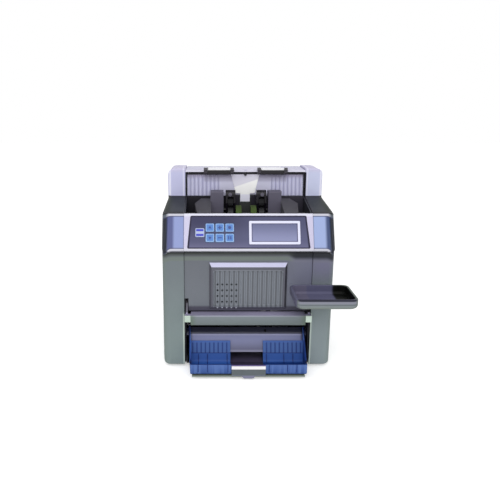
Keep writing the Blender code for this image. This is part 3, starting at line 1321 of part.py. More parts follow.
def make_inlet():
    """A mains inlet module: rim, body, three-blade socket and a pocket for the rocker switch."""
    skin = REAR_SKIN_Y
    z0, z1 = INLET_Z - INLET_HEIGHT / 2, INLET_Z + INLET_HEIGHT / 2
    x0, x1 = INLET_X - INLET_WIDTH / 2, INLET_X + INLET_WIDTH / 2
    face = INLET_FACE_Y
    body = box(x0, x1, skin - INLET_DEPTH, skin + SEAT_GAP + FUSE, z0, z1)
    inlet = piece("power_inlet", body, "black_plastic")
    rim = rectangle(x0 - INLET_RIM, x1 + INLET_RIM, z0 - INLET_RIM, z1 + INLET_RIM, INLET_RIM)
    unite(inlet, prism([rim], skin + SEAT_GAP, face, ALONG_Y))
    sx = INLET_X + SOCKET_SHIFT
    top_cut = SOCKET_CORNER
    half_w, half_h = SOCKET_WIDTH / 2, SOCKET_HEIGHT / 2
    socket = [
        (sx - half_w, INLET_Z - half_h), (sx + half_w, INLET_Z - half_h),
        (sx + half_w, INLET_Z + half_h - top_cut),
        (sx + half_w - top_cut, INLET_Z + half_h), (sx - half_w + top_cut, INLET_Z + half_h),
        (sx - half_w, INLET_Z + half_h - top_cut),
    ]
    floor_y = face - SOCKET_DEPTH
    cut(inlet, prism([socket], floor_y, face + OVERRUN, ALONG_Y))
    for dx, dz in ((-BLADE_SPREAD, 0), (0, BLADE_HEIGHT / 2), (BLADE_SPREAD, 0)):
        bx, bz = sx + dx, INLET_Z + dz - BLADE_HEIGHT / 4
        blade = box(
            bx - BLADE_WIDTH / 2, bx + BLADE_WIDTH / 2, floor_y - FUSE, floor_y + BLADE_LENGTH,
            bz - BLADE_HEIGHT / 2, bz + BLADE_HEIGHT / 2,
        )
        unite(inlet, blade)
    wx = INLET_X + SWITCH_SHIFT
    w, h = SWITCH_WIDTH / 2, SWITCH_HEIGHT / 2
    room_w, room_h = w + 2 * RUNNING_GAP, h + SWITCH_ROOM
    pocket = rectangle(wx - room_w, wx + room_w, INLET_Z - room_h, INLET_Z + room_h)
    cut(inlet, prism([pocket], face - SWITCH_POCKET, face + OVERRUN, ALONG_Y))

    axis_y = face - SWITCH_BODY + RUNNING_GAP
    lift = SWITCH_LIFT
    profile = [
        (axis_y, INLET_Z - h / 3), (face + SWITCH_PROUD - lift / 2, INLET_Z - h), (face, INLET_Z),
        (face + SWITCH_PROUD + lift / 2, INLET_Z + h), (axis_y, INLET_Z + h / 3),
    ]
    bm = prism([profile], wx - w, wx + w, ALONG_X)
    piece("power_switch", bm, "black_plastic", (wx, axis_y, INLET_Z))


def panel_frame():
    """The control panel's frame: X across, then up the slope from the panel's foot, then outwards."""
    rise = Vector((0, PANEL_TOP_Y - PANEL_FOOT_Y, PANEL_TOP_Z - PANEL_FOOT_Z)).normalized()
    normal = Vector((1, 0, 0)).cross(rise)
    frame = Matrix.Identity(4)
    for row in range(3):
        frame[row][1] = rise[row]
        frame[row][2] = normal[row]
    frame.translation = (0, PANEL_FOOT_Y, PANEL_FOOT_Z)
    return frame


def window_outline(gap):
    """The trapezoid of the panel's window, drawn in by a gap."""
    foot, head = BEZEL_FOOT_BORDER + gap, PANEL_LENGTH - BEZEL_HEAD_BORDER - gap
    wide, narrow = WINDOW_FOOT_HALF - gap, WINDOW_HEAD_HALF - gap
    corners = [(-wide, foot), (wide, foot), (narrow, head), (-narrow, head)]
    return rounded([(x, v, WINDOW_RADIUS) for x, v in corners], 2)


def key_places():
    """Name, place on the panel and size of each key."""
    places = []
    for row in range(2):
        for column in range(3):
            x = KEY_FIRST_X + KEY_PITCH_X * column
            places.append((f"key_{row * 3 + column + 1}", x, KEY_TOP_V - KEY_PITCH_V * row, KEY_SIZE))
    return places + [("key_7", WHITE_KEY_X, WHITE_KEY_V, WHITE_KEY_SIZE)]


def square(x, v, size, corner):
    half = size / 2
    return rectangle(x - half, x + half, v - half, v + half, corner)


def make_panel():
    """Silver bezel, dark membrane, display with its white frame, the keys and the board behind them."""
    slope = panel_frame()
    side = INNER - SEAT_GAP
    outer = [(-side, 0), (side, 0), (side, PANEL_LENGTH), (-side, PANEL_LENGTH)]
    piece("panel_bezel", prism([outer, window_outline(0)], -BEZEL_THICK, 0, slope), "silver_trim")

    half_w, half_h = DISPLAY_WIDTH / 2, DISPLAY_HEIGHT / 2
    lens_w, lens_h = half_w - DISPLAY_BORDER, half_h - DISPLAY_BORDER

    def display(gap):
        x0, x1 = DISPLAY_X - lens_w - gap, DISPLAY_X + lens_w + gap
        return rectangle(x0, x1, DISPLAY_V - lens_h - gap, DISPLAY_V + lens_h + gap)

    face, back = -MEMBRANE_SINK, -MEMBRANE_SINK - MEMBRANE_THICK
    holes = [square(x, v, size + 2 * RUNNING_GAP, KEY_CORNER) for _, x, v, size in key_places()]
    loops = [window_outline(SEAT_GAP), display(SEAT_GAP)] + holes
    piece("key_membrane", prism(loops, back, face, slope), "membrane")

    x0, x1 = DISPLAY_X - half_w, DISPLAY_X + half_w
    rim = rectangle(x0, x1, DISPLAY_V - half_h, DISPLAY_V + half_h, KEY_CORNER)
    low = face + SEAT_GAP
    piece("display_frame", prism([rim, display(SEAT_GAP)], low, low + DISPLAY_RIM, slope), "white_gloss")
    lens_top = low + DISPLAY_RIM - LENS_SINK
    piece("display_window", prism([display(0)], lens_top - LENS_DEPTH, lens_top, slope), "lcd")

    flange_top = back - SEAT_GAP
    for name, x, v, size in key_places():
        cap_top = face + KEY_PROUD
        levels = [
            (flange_top - KEY_FLANGE_THICK, size + 2 * KEY_FLANGE),
            (flange_top, size + 2 * KEY_FLANGE),
            (flange_top, size),
            (cap_top - KEY_TOP_BEVEL, size),
            (cap_top, size - 2 * KEY_TOP_BEVEL),
        ]
        rings = [[slope @ Vector((a, b, n)) for a, b in square(x, v, wide, KEY_CORNER)] for n, wide in levels]
        look = "white_gloss" if size == WHITE_KEY_SIZE else "key_blue"
        piece(name, loft(rings), look, slope @ Vector((x, v, 0)))

    board_top = -BOARD_DEPTH
    x0, x1 = -BETWEEN, BETWEEN
    outline = rectangle(x0, x1, BOARD_BORDER, PANEL_LENGTH - BOARD_BORDER)
    sheet = prism([outline], board_top - BOARD_THICK, board_top, slope)
    board = piece("control_board", sheet, "circuit_green")
    button_top = flange_top - KEY_FLANGE_THICK - KEY_TRAVEL - RUNNING_GAP
    for _, x, v, _ in key_places():
        unite(board, prism([square(x, v, BUTTON_SIZE, 0)], board_top - FUSE, button_top, slope))


def make_front_door():
    """The fixed front door: a face with two flanges, the grille's opening and two notches for the flap arms."""
    wide = INNER - 2 * SEAT_GAP
    rear = DOOR_FACE_Y + DOOR_THICK
    flange_in = BETWEEN - DOOR_THICK
    half_plan = [
        (wide, DOOR_FACE_Y), (wide, rear), (BETWEEN, rear), (BETWEEN, DOOR_FLANGE_REAR_Y),
        (flange_in, DOOR_FLANGE_REAR_Y), (flange_in, rear),
    ]
    plan = half_plan + [(-x, y) for x, y in reversed(half_plan)]
    door = piece("front_door", prism([plan], DOOR_FOOT_Z, DOOR_HEAD_Z), "grey_cover")
    plug = GRILLE_HALF - GRILLE_PLUG_INSET + SEAT_GAP
    y0, y1 = DOOR_FACE_Y - OVERRUN, DOOR_FLANGE_REAR_Y + OVERRUN
    foot, head = GRILLE_FOOT_Z + GRILLE_PLUG_INSET - SEAT_GAP, GRILLE_HEAD_Z - GRILLE_PLUG_INSET + SEAT_GAP
    cut(door, box(-plug, plug, y0, y1, foot, head))
    for side in (-1, 1):
        x0, x1 = sorted((side * NOTCH_IN, side * (INNER + OVERRUN)))
        cut(door, box(x0, x1, y0, y1, DOOR_FOOT_Z - OVERRUN, NOTCH_TOP_Z))


def make_grille():
    """The speaker grille: a bevelled frame, a sunk field with upright flutes, and rows of round holes."""
    plug = GRILLE_HALF - GRILLE_PLUG_INSET
    plug_foot, plug_head = GRILLE_FOOT_Z + GRILLE_PLUG_INSET, GRILLE_HEAD_Z - GRILLE_PLUG_INSET
    flange_back = DOOR_FACE_Y - SEAT_GAP
    flange_front = flange_back - GRILLE_FLANGE_THICK
    field_y = GRILLE_FACE_Y + FIELD_SINK
    back_y = field_y + FIELD_WALL
    hollow = plug - FIELD_WALL
    side, head, draft = GRILLE_SIDE_CHAMFER, GRILLE_HEAD_CHAMFER, FIELD_DRAFT

    def ring(half, foot, top, y, corner=0.0):
        """A rectangle across the door, with as many points whether or not its head has round corners."""
        points = [(-half, y, foot), (half, y, foot)]
        for a, low in ((half, (half, foot)), (-half, (half, top))):
            ahead = (-half, top) if a > 0 else (-half, foot)
            arc = arc_points(low, (a, top), ahead, corner, ROUND_STEPS)
            points += [(b, y, z) for b, z in arc * (1 if corner else ROUND_STEPS + 1)]
        return points

    rings = [
        ring(hollow, plug_foot + FIELD_WALL, plug_head - FIELD_WALL, back_y),
        ring(hollow, plug_foot + FIELD_WALL, plug_head - FIELD_WALL, GRILLE_REAR_Y),
        ring(plug, plug_foot, plug_head, GRILLE_REAR_Y),
        ring(plug, plug_foot, plug_head, flange_back),
        ring(GRILLE_HALF, GRILLE_FOOT_Z, GRILLE_HEAD_Z, flange_back),
        ring(GRILLE_HALF, GRILLE_FOOT_Z, GRILLE_HEAD_Z, flange_front),
        ring(GRILLE_HALF - side, GRILLE_FOOT_Z + side, GRILLE_HEAD_Z - head, GRILLE_FACE_Y),
        ring(FIELD_HALF, FIELD_FOOT_Z, FIELD_HEAD_Z, GRILLE_FACE_Y, FIELD_CORNER),
        ring(FIELD_HALF - draft, FIELD_FOOT_Z + draft, FIELD_HEAD_Z - draft, field_y, FIELD_CORNER - draft),
    ]
    grille = piece("speaker_grille", loft(rings), "grey_cover")
    first = FLUTE_FIRST_X
    floor, roof = FIELD_FOOT_Z + FLUTE_MARGIN, FIELD_HEAD_Z - FLUTE_MARGIN
    flutes = []
    for i in range(FLUTE_COUNT):
        x = first + FLUTE_PITCH * i
        plan = [
            (x - FLUTE_WIDTH / 2, field_y - OVERRUN / 2), (x + FLUTE_WIDTH / 2, field_y - OVERRUN / 2),
            (x + FLUTE_WIDTH / 2, field_y), (x, field_y + FLUTE_DEPTH), (x - FLUTE_WIDTH / 2, field_y),
        ]
        flutes.append(prism([plan], floor, roof))
    cut(grille, merged(*flutes))
    holes = []
    for column in range(HOLE_COLUMNS):
        for row in range(HOLE_ROWS):
            x, z = first + FLUTE_PITCH * column, HOLE_FIRST_Z + HOLE_PITCH_Z * row
            hole = circle(x, z, HOLE_RADIUS, 8)
            holes.append(prism([hole], field_y - OVERRUN / 2, back_y + OVERRUN / 2, ALONG_Y))
    cut(grille, merged(*holes))


def make_exit_flap():
    """The bar across the stacker mouth: an angle section with end caps, hung on two arms and pins."""
    profile = rounded(
        [
            (FLAP_FRONT_Y, FLAP_FOOT_Z, FLAP_RADIUS / 2), (FLAP_FRONT_Y + FLAP_WALL, FLAP_FOOT_Z, 0),
            (FLAP_FRONT_Y + FLAP_WALL, FLAP_TOP_Z - FLAP_WALL, 0), (FLAP_REAR_Y, FLAP_TOP_Z - FLAP_WALL, 0),
            (FLAP_REAR_Y, FLAP_TOP_Z, 0), (FLAP_FRONT_Y, FLAP_TOP_Z, FLAP_RADIUS),
        ],
        2,
    )
    flap = piece("exit_flap", prism([profile], -FLAP_HALF, FLAP_HALF, ALONG_X), "grey_cover", smooth=30)
    cap = rounded(
        [
            (FLAP_FRONT_Y + SEAT_GAP, CAP_FOOT_Z, FLAP_RADIUS), (CAP_REAR_Y, CAP_FOOT_Z, 0),
            (CAP_REAR_Y, FLAP_TOP_Z - SEAT_GAP, 0),
            (FLAP_FRONT_Y + SEAT_GAP, FLAP_TOP_Z - SEAT_GAP, FLAP_RADIUS),
        ],
        2,
    )
    axis = Vector((FLAP_AXIS_Y, FLAP_AXIS_Z))
    end = Vector((FLAP_ARM_END_Y, FLAP_ARM_END_Z))
    along = (axis - end).normalized()
    across = Vector((-along.y, along.x)) * FLAP_ARM_HALF
    reach = along * FLAP_ARM_HALF
    arm = rounded(
        [
            (*(end - across), 0), (*(axis + reach - across), FLAP_ARM_HALF * ARM_END_SHARE),
            (*(axis + reach + across), FLAP_ARM_HALF * ARM_END_SHARE), (*(end + across), 0),
        ],
        3,
    )
    for side in (-1, 1):
        x0, x1 = sorted((side * (FLAP_HALF - FUSE), side * CAP_OUT))
        unite(flap, prism([cap], x0, x1, ALONG_X))
        x0, x1 = sorted((side * FLAP_ARM_IN, side * FLAP_ARM_OUT))
        unite(flap, prism([arm], x0, x1, ALONG_X))
        x0, x1 = sorted((side * (FLAP_ARM_OUT - FUSE), side * FRAME_OUT))
        unite(flap, prism([circle(*axis, FLAP_PIN_RADIUS, 12)], x0, x1, ALONG_X))
    move_origin(flap, (0, FLAP_AXIS_Y, FLAP_AXIS_Z))


def make_stacker_plate():
    """The steep plate behind the stacked notes, with a lug at each end that reaches its side frame."""
    path = [(PLATE_FOOT_Y, PLATE_FOOT_Z), (PLATE_BEND_Y, PLATE_BEND_Z), (PLATE_HEAD_Y, PLATE_HEAD_Z)]
    outline = strip(path[::-1], PLATE_THICK)
    plate = piece("stacker_plate", prism([outline], -PLATE_HALF, PLATE_HALF, ALONG_X), "lavender")
    lug = [
        (PLATE_BEND_Y, PLATE_LUG_FOOT_Z), (PLATE_HEAD_Y, PLATE_LUG_FOOT_Z),
        (PLATE_HEAD_Y, PLATE_HEAD_Z - PLATE_THICK), (PLATE_BEND_Y + PLATE_THICK, PLATE_BEND_Z),
    ]
    for side in (-1, 1):
        x0, x1 = sorted((side * (POCKET_OUT + SEAT_GAP), side * BETWEEN))
        bracket = prism([lug], x0, x1, ALONG_X)
        tie0, tie1 = sorted((side * (PLATE_HALF - FUSE), side * (POCKET_OUT + SEAT_GAP + FUSE)))
        tie = [
            (PLATE_BEND_Y + PLATE_THICK, PLATE_LUG_FOOT_Z), (PLATE_HEAD_Y, PLATE_LUG_FOOT_Z),
            (PLATE_HEAD_Y, PLATE_HEAD_Z - PLATE_THICK), (PLATE_BEND_Y + PLATE_THICK, PLATE_BEND_Z),
        ]
        unite(plate, prism([tie], tie0, tie1, ALONG_X), bracket)


def pocket_path():
    return bent(
        [
            (POCKET_HEAD_Y, POCKET_HEAD_Z, 0),
            (POCKET_BEND_Y, POCKET_FLOOR_Z, POCKET_BEND_RADIUS),
            (POCKET_FRONT_Y, POCKET_FLOOR_Z, POCKET_LIP_RADIUS),
            (POCKET_FRONT_Y, POCKET_LIP_Z, 0),
        ]
    )


def make_stacker_tray(name, side):
    """A blue tray half: a bent plate with a front lip, upright grooves on its back and a tall outer wall."""

    def drawn_in(bm):
        """Moves the tray's outer side inwards, the more the nearer it is to the front."""
        for vert in bm.verts:
            share = (SIDE_WALL_HEAD_Y - vert.co.y) / (SIDE_WALL_HEAD_Y - POCKET_FRONT_Y)
            if side * vert.co.x > (POCKET_IN + POCKET_OUT) / 2:
                vert.co.x -= side * POCKET_TAPER * share
        return bm

    outline = strip(pocket_path()[::-1], POCKET_WALL)
    x0, x1 = sorted((side * POCKET_IN, side * (POCKET_OUT - POCKET_WALL / 2)))
    plate = drawn_in(prism([outline], x0, x1, ALONG_X))
    tray = piece(f"{name}_stacker_tray", plate, "stacker_blue", smooth=30)
    wall = rounded(
        [
            (POCKET_FRONT_Y, POCKET_FLOOR_Z, POCKET_LIP_RADIUS),
            (POCKET_BEND_Y, POCKET_FLOOR_Z, POCKET_BEND_RADIUS),
            (SIDE_WALL_HEAD_Y, SIDE_WALL_HEAD_Z, 0),
            (SIDE_WALL_WAIST_Y, SIDE_WALL_WAIST_Z, POCKET_LIP_RADIUS),
            (POCKET_FRONT_Y, POCKET_LIP_Z, 0),
        ]
    )
    w0, w1 = sorted((side * (POCKET_OUT - POCKET_WALL), side * POCKET_OUT))
    unite(tray, drawn_in(prism([wall], w0, w1, ALONG_X)))
    corner, under = side * (POCKET_OUT + OVERRUN), POCKET_FLOOR_Z - OVERRUN
    section = [
        (side * (POCKET_OUT - POCKET_CHAMFER - OVERRUN), under), (corner, under),
        (corner, POCKET_FLOOR_Z + POCKET_CHAMFER + OVERRUN),
    ]
    chamfer = prism([section], POCKET_FRONT_Y - OVERRUN, POCKET_BEND_Y - POCKET_BEND_RADIUS, ALONG_Y)
    cut(tray, drawn_in(chamfer))
    lean = (POCKET_HEAD_Y - POCKET_BEND_Y) / (POCKET_HEAD_Z - POCKET_FLOOR_Z)
    slant = math.hypot(1, lean)
    count = int((POCKET_OUT - POCKET_IN - 2 * POCKET_WALL) / GROOVE_PITCH)
    grooves = []
    for i in range(count):
        x = side * (POCKET_IN + POCKET_WALL + GROOVE_PITCH * (i + 1 / 2))
        foot_y = POCKET_BEND_Y + lean * (GROOVE_FOOT_Z - POCKET_FLOOR_Z) - POCKET_WALL * slant
        head_y = foot_y + lean * (POCKET_HEAD_Z + OVERRUN - GROOVE_FOOT_Z)
        head_z = POCKET_HEAD_Z + OVERRUN
        bite = GROOVE_DEPTH * slant
        section = [
            (foot_y - OVERRUN / 2, GROOVE_FOOT_Z), (foot_y + bite, GROOVE_FOOT_Z),
            (head_y + bite, head_z), (head_y - OVERRUN / 2, head_z),
        ]
        grooves.append(prism([section], x - GROOVE_WIDTH / 2, x + GROOVE_WIDTH / 2, ALONG_X))
    cut(tray, merged(*grooves))


def make_stacker_centre():
    """The grey middle of the stacker: a front wall over the base tongue, a floor and a round thumb tab."""
    front, inner = CENTRE_FRONT_Y, CENTRE_FRONT_Y + CENTRE_WALL
    floor_top = POCKET_FLOOR_Z + CENTRE_WALL
    outline = [
        (front, CENTRE_FOOT_Z), (inner, POCKET_FLOOR_Z), (POCKET_BEND_Y, POCKET_FLOOR_Z),
        (POCKET_BEND_Y, floor_top), (inner, floor_top), (inner, POCKET_LIP_Z), (front, POCKET_LIP_Z),
    ]
    centre = piece("stacker_centre", prism([outline], -CENTRE_HALF, CENTRE_HALF, ALONG_X), "silver_trim")
    tab = rounded(
        [
            (-TAB_HALF, TAB_FOOT_Z, TAB_RADIUS), (TAB_HALF, TAB_FOOT_Z, TAB_RADIUS),
            (TAB_HALF, CENTRE_FOOT_Z + CENTRE_WALL, 0), (-TAB_HALF, CENTRE_FOOT_Z + CENTRE_WALL, 0),
        ]
    )
    unite(centre, prism([tab], front + SEAT_GAP, inner - SEAT_GAP, ALONG_Y))


def make_stacker_wheel(name, side):
    """A stacking wheel: a bored hub with swept, tapering fins that catch each note."""
    outline = []
    pitch = 360.0 / WHEEL_FINS
    for fin in range(WHEEL_FINS):
        leading, trailing = [], []
        for step in range(FIN_STEPS + 1):
            share = step / FIN_STEPS
            radius = WHEEL_HUB_RADIUS + (WHEEL_RADIUS - WHEEL_HUB_RADIUS) * share
            thick = FIN_ROOT + (FIN_TIP - FIN_ROOT) * share
            middle = math.radians(pitch * fin + FIN_SWEEP * share**2)
            spread = thick / 2 / radius
            for row, angle in ((trailing, middle - spread), (leading, middle + spread)):
                row.append((STACKER_Y + radius * math.cos(angle), STACKER_Z + radius * math.sin(angle)))
        outline += trailing + leading[::-1]
    bore = circle(STACKER_Y, STACKER_Z, STACKER_SHAFT_RADIUS + SEAT_GAP, 12)
    x0, x1 = sorted((side * (WHEEL_X - WHEEL_WIDTH / 2), side * (WHEEL_X + WHEEL_WIDTH / 2)))
    bm = prism([outline, bore], x0, x1, ALONG_X)
    piece(f"{name}_stacking_wheel", bm, "black_plastic", (0, STACKER_Y, STACKER_Z))


def make_side_tray():
    """The shallow tray at the right: a thin cup with round corners, on a bracket against the right column."""

    def ring(shrink, z):
        x0, x1 = TRAY_LEFT + shrink, TRAY_RIGHT - shrink
        y0, y1 = TRAY_FRONT_Y + shrink, TRAY_REAR_Y - shrink
        front, rear = TRAY_FRONT_RADIUS - shrink / 2, TRAY_REAR_RADIUS - shrink / 2
        corners = [(x0, y0, front), (x1, y0, front), (x1, y1, rear), (x0, y1, rear)]
        return [(x, y, z) for x, y in rounded(corners, 4)]

    rings = []
    for k in range(ROUND_STEPS + 1):
        angle = math.pi / 2 * k / ROUND_STEPS
        height = TRAY_FOOT_RADIUS * (1 - math.cos(angle))
        rings.append(ring(TRAY_FOOT_RADIUS * (1 - math.sin(angle)), TRAY_FOOT_Z + height))
    bend = TRAY_FOOT_RADIUS / 2
    rings += [
        ring(0, TRAY_TOP_Z - TRAY_WALL / 4), ring(TRAY_WALL / 4, TRAY_TOP_Z),
        ring(TRAY_WALL * 3 / 4, TRAY_TOP_Z), ring(TRAY_WALL, TRAY_TOP_Z - TRAY_WALL / 4),
        ring(TRAY_WALL, TRAY_FOOT_Z + TRAY_FLOOR + bend), ring(TRAY_WALL + bend, TRAY_FOOT_Z + TRAY_FLOOR),
    ]
    tray = piece("side_tray", loft(rings), "grey_cover", smooth=40)
    plate = rectangle(BRACKET_LEFT, BRACKET_RIGHT, BRACKET_FOOT_Z, BRACKET_HEAD_Z, BRACKET_RADIUS)
    unite(tray, prism([plate], TRAY_REAR_Y - FUSE, -SEAT_GAP, ALONG_Y))


def make_power_supply():
    """A folded steel cage over the power supply, standing on the base plate."""
    low = BASE_TOP + SEAT_GAP
    top = low + SUPPLY_HEIGHT
    section = [
        (SUPPLY_LEFT, low), (SUPPLY_RIGHT, low), (SUPPLY_RIGHT, low + SHEET),
        (SUPPLY_RIGHT - SUPPLY_FLANGE, low + SHEET),
        (SUPPLY_RIGHT - SUPPLY_FLANGE, top), (SUPPLY_LEFT + SUPPLY_FLANGE, top),
        (SUPPLY_LEFT + SUPPLY_FLANGE, low + SHEET), (SUPPLY_LEFT, low + SHEET),
    ]
    piece("power_supply", prism([section], SUPPLY_FRONT_Y, SUPPLY_REAR_Y, ALONG_Y), "steel")


clear_scene()
LOOKS = make_materials()
ROOT = placed_root()
make_base()
for word, sign in (("left", -1), ("right", 1)):
    make_side_frame(word, sign)
    make_side(word, sign)
    make_arm(word, sign)
    make_kicker(word, sign)
    make_note_support(word, sign)
    make_stacker_tray(word, sign)
    make_stacker_wheel(word, sign)
make_drive()
make_hopper_floor()
make_back_wall()
make_top_rail()
make_rear()
make_inlet()
make_panel()
make_front_door()
make_grille()
make_exit_flap()
make_stacker_plate()
make_stacker_centre()
make_side_tray()
make_power_supply()
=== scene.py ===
# %% [markdown]
# # A desktop banknote counter
# Notes stand in the hopper at the top, two green rubber wheels pull them down one by one, and two
# stacking wheels lay them in the blue trays at the foot. The packed CAD model already holds every
# solid in its place, so this lesson gives those solids their finishes and adds what a CAD model
# leaves out: printed key faces, white grips, caps on the roller arms, ribs in the blue trays,
# ribbed rubber and screws.

import math

import bmesh
import bpy
from mathutils import Matrix, Vector


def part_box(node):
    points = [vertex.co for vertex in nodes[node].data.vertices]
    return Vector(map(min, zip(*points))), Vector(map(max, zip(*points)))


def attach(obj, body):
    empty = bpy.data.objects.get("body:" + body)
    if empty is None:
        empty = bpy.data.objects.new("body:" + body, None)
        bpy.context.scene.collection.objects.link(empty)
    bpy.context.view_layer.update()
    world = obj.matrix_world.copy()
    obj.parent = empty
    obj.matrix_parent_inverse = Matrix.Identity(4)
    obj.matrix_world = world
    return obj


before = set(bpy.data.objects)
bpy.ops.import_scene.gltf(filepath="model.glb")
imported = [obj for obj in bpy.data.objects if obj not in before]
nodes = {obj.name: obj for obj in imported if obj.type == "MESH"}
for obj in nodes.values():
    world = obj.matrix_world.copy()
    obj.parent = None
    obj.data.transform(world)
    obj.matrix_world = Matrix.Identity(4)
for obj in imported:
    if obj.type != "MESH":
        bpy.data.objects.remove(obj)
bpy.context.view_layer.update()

# %% [markdown]
# ## One ruler for the whole machine
# A maker measures a machine from its middle, its front face and the table, in millimetres. The
# frame is in metres and its middle is elsewhere, because a tray stands out at the right. The front
# door is symmetric, so its box gives the middle and the front face, and one small function turns
# the maker's numbers into the frame's.

# %% The maker's ruler
door_low, door_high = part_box("front_door")
MIDDLE_X = (door_low[0] + door_high[0]) / 2
DOOR_SETBACK = 0.002
FRONT_Y = door_low[1] - DOOR_SETBACK
PER_METRE = 1000


def at(x, y, z):
    """A place in millimetres: from the middle, from the columns' front face, and up from the table."""
    return Vector((MIDDLE_X + x / PER_METRE, FRONT_Y + y / PER_METRE, z / PER_METRE))


def ruled(corners):
    """The other way round: places in the frame, in the maker's millimetres."""
    origin = Vector((MIDDLE_X, FRONT_Y, 0))
    return [(Vector(corner) - origin) * PER_METRE for corner in corners]


PANEL_FOOT_Y, PANEL_FOOT_Z = -6.0, 203.0
PANEL_RUN, PANEL_RISE = 26.0, 57.0
PANEL_LENGTH = math.hypot(PANEL_RUN, PANEL_RISE)
SLOPE_Y, SLOPE_Z = PANEL_RUN / PANEL_LENGTH, PANEL_RISE / PANEL_LENGTH


def on_panel(u, v, n=0.0):
    """A place on the sloping panel: across, up the slope from its foot, and outwards."""
    return at(u, PANEL_FOOT_Y + SLOPE_Y * v - SLOPE_Z * n, PANEL_FOOT_Z + SLOPE_Z * v + SLOPE_Y * n)


print("middle", round(MIDDLE_X, 4), "front", round(FRONT_Y, 4), "slope", round(PANEL_LENGTH, 1), "mm")

# %% [markdown]
# ## Shader maths that reads like maths
# A finish is a network of nodes. Wiring it by hand takes many lines, so a small class wraps an
# output socket and gives it the signs of arithmetic: 1 - mask adds a Math node. Everything that
# isn't arithmetic goes through one method, which sets a node's own settings first and then its
# sockets. The same class serves Geometry Nodes.


# %% Wires and plans
class Wire:
    """An output socket. Arithmetic on it adds Math nodes to the plan that it belongs to."""

    def __init__(self, plan, socket):
        self.plan, self.socket = plan, socket

    def math(self, operation, first, second=0.0):
        return self.plan.node("ShaderNodeMath", {"operation": operation}, {0: first, 1: second})

    def __add__(self, other):
        return self.math("ADD", self, other)

    def __sub__(self, other):
        return self.math("SUBTRACT", self, other)

    def __rsub__(self, other):
        return self.math("SUBTRACT", other, self)

    def __mul__(self, other):
        return self.math("MULTIPLY", self, other)

    def __mod__(self, other):
        return self.math("FLOORED_MODULO", self, other)

    def __abs__(self):
        return self.math("ABSOLUTE", self)

    __radd__, __rmul__ = __add__, __mul__


class Plan:
    """A node tree that is being drawn up."""

    def __init__(self, tree):
        self.tree = tree

    def node(self, kind, settings=None, inputs=None, output=0):
        """Adds one node, with its settings first and then the values or wires of its sockets."""
        made = self.tree.nodes.new(kind)
        for name, value in (settings or {}).items():
            setattr(made, name, value)
        for key, value in (inputs or {}).items():
            if isinstance(value, Wire):
                self.tree.links.new(value.socket, made.inputs[key])
            else:
                made.inputs[key].default_value = value
        return Wire(self, made.outputs[output]) if len(made.outputs) else None

    def fade(self, value, low, high):
        """0 below low, 1 above high, and a soft change between them."""
        span = {"From Min": low, "From Max": high, "Value": value}
        return self.node("ShaderNodeMapRange", {"interpolation_type": "SMOOTHSTEP"}, span)

    def below(self, value, low, high):
        """1 below low, 0 above high, and a soft change between them."""
        return 1 - self.fade(value, low, high)

    def within(self, value, low, high, soft=0.3):
        """1 between two limits and 0 outside them, with soft edges."""
        return self.fade(value, low - soft, low) * self.below(value, high, high + soft)

    def blend(self, mask, below, above):
        """One colour where the mask is 0 and another where it is 1. A tuple is a screen colour."""
        below, above = (rgb(*tone) if isinstance(tone, tuple) else tone for tone in (below, above))
        return self.node("ShaderNodeMix", {"data_type": "RGBA"}, {0: mask, 6: below, 7: above}, output=2)


print("a plan can draw:", *(name for name in vars(Plan) if name[0] != "_"))

# %% [markdown]
# ## Finishes
# Moulded plastic is never one flat colour: it has a fine spark-eroded grain, slow changes of tone,
# and a gloss that varies from place to place. Paint on it changes at moulded lines. So each finish
# is a function that works out a colour from a place on the machine, in the maker's millimetres, and
# one function adds the grain, the slow change of tone and the gloss to all of them. Many of the
# colours also hold painted shade, painted shadows and painted highlights.


# %% Colours and places
def rgb(red, green, blue):
    """A screen colour, from 0 to 255, as the linear light that the renderer uses."""
    linear = []
    for value in (red / 255, green / 255, blue / 255):
        linear.append(value / 12.92 if value <= 0.04045 else ((value + 0.055) / 1.055) ** 2.4)
    return (*linear, 1.0)


class Spot:
    """A place on the machine, as wires in millimetres: v is up the panel and depth is behind it."""

    def __init__(self, plan):
        objects = plan.node("ShaderNodeTexCoord", output=3)
        corner = (MIDDLE_X, FRONT_Y, 0)
        moved = plan.node("ShaderNodeVectorMath", {"operation": "SUBTRACT"}, {0: objects, 1: corner})
        scaled = {0: moved, 3: float(PER_METRE)}
        self.place = plan.node("ShaderNodeVectorMath", {"operation": "SCALE"}, scaled)
        given = {0: self.place}
        self.x, self.y, self.z = (plan.node("ShaderNodeSeparateXYZ", None, given, i) for i in range(3))
        self.side = abs(self.x)
        self.v = (self.y - PANEL_FOOT_Y) * SLOPE_Y + (self.z - PANEL_FOOT_Z) * SLOPE_Z
        self.depth = (self.y - PANEL_FOOT_Y) * SLOPE_Z - (self.z - PANEL_FOOT_Z) * SLOPE_Y
        self.plan = plan

    def right(self):
        """0 left of the machine's middle and 1 right of it."""
        return self.plan.fade(self.x, -5.0, 5.0)


def from_line(place, pitch):
    """How far a place is from the nearest of many lines, one at 0 and one at every step of the pitch."""
    return abs(((place + pitch / 2) % pitch) - pitch / 2)


def squared(across, up):
    """The square of the distance from a centre, which is all that a round spot needs."""
    return across * across + up * up


FINISHES = {}
WHITE = (1, 1, 1, 1)
CLOUDS, SPECKS = {"Scale": 0.035, "Detail": 3.0}, {"Scale": 1.6, "Detail": 2.0}
BUMP_HEIGHT, COAT_ROUGH = 0.00006, 0.15


def both(word):
    """The names of a left and a right solid."""
    return f"left_{word}", f"right_{word}"


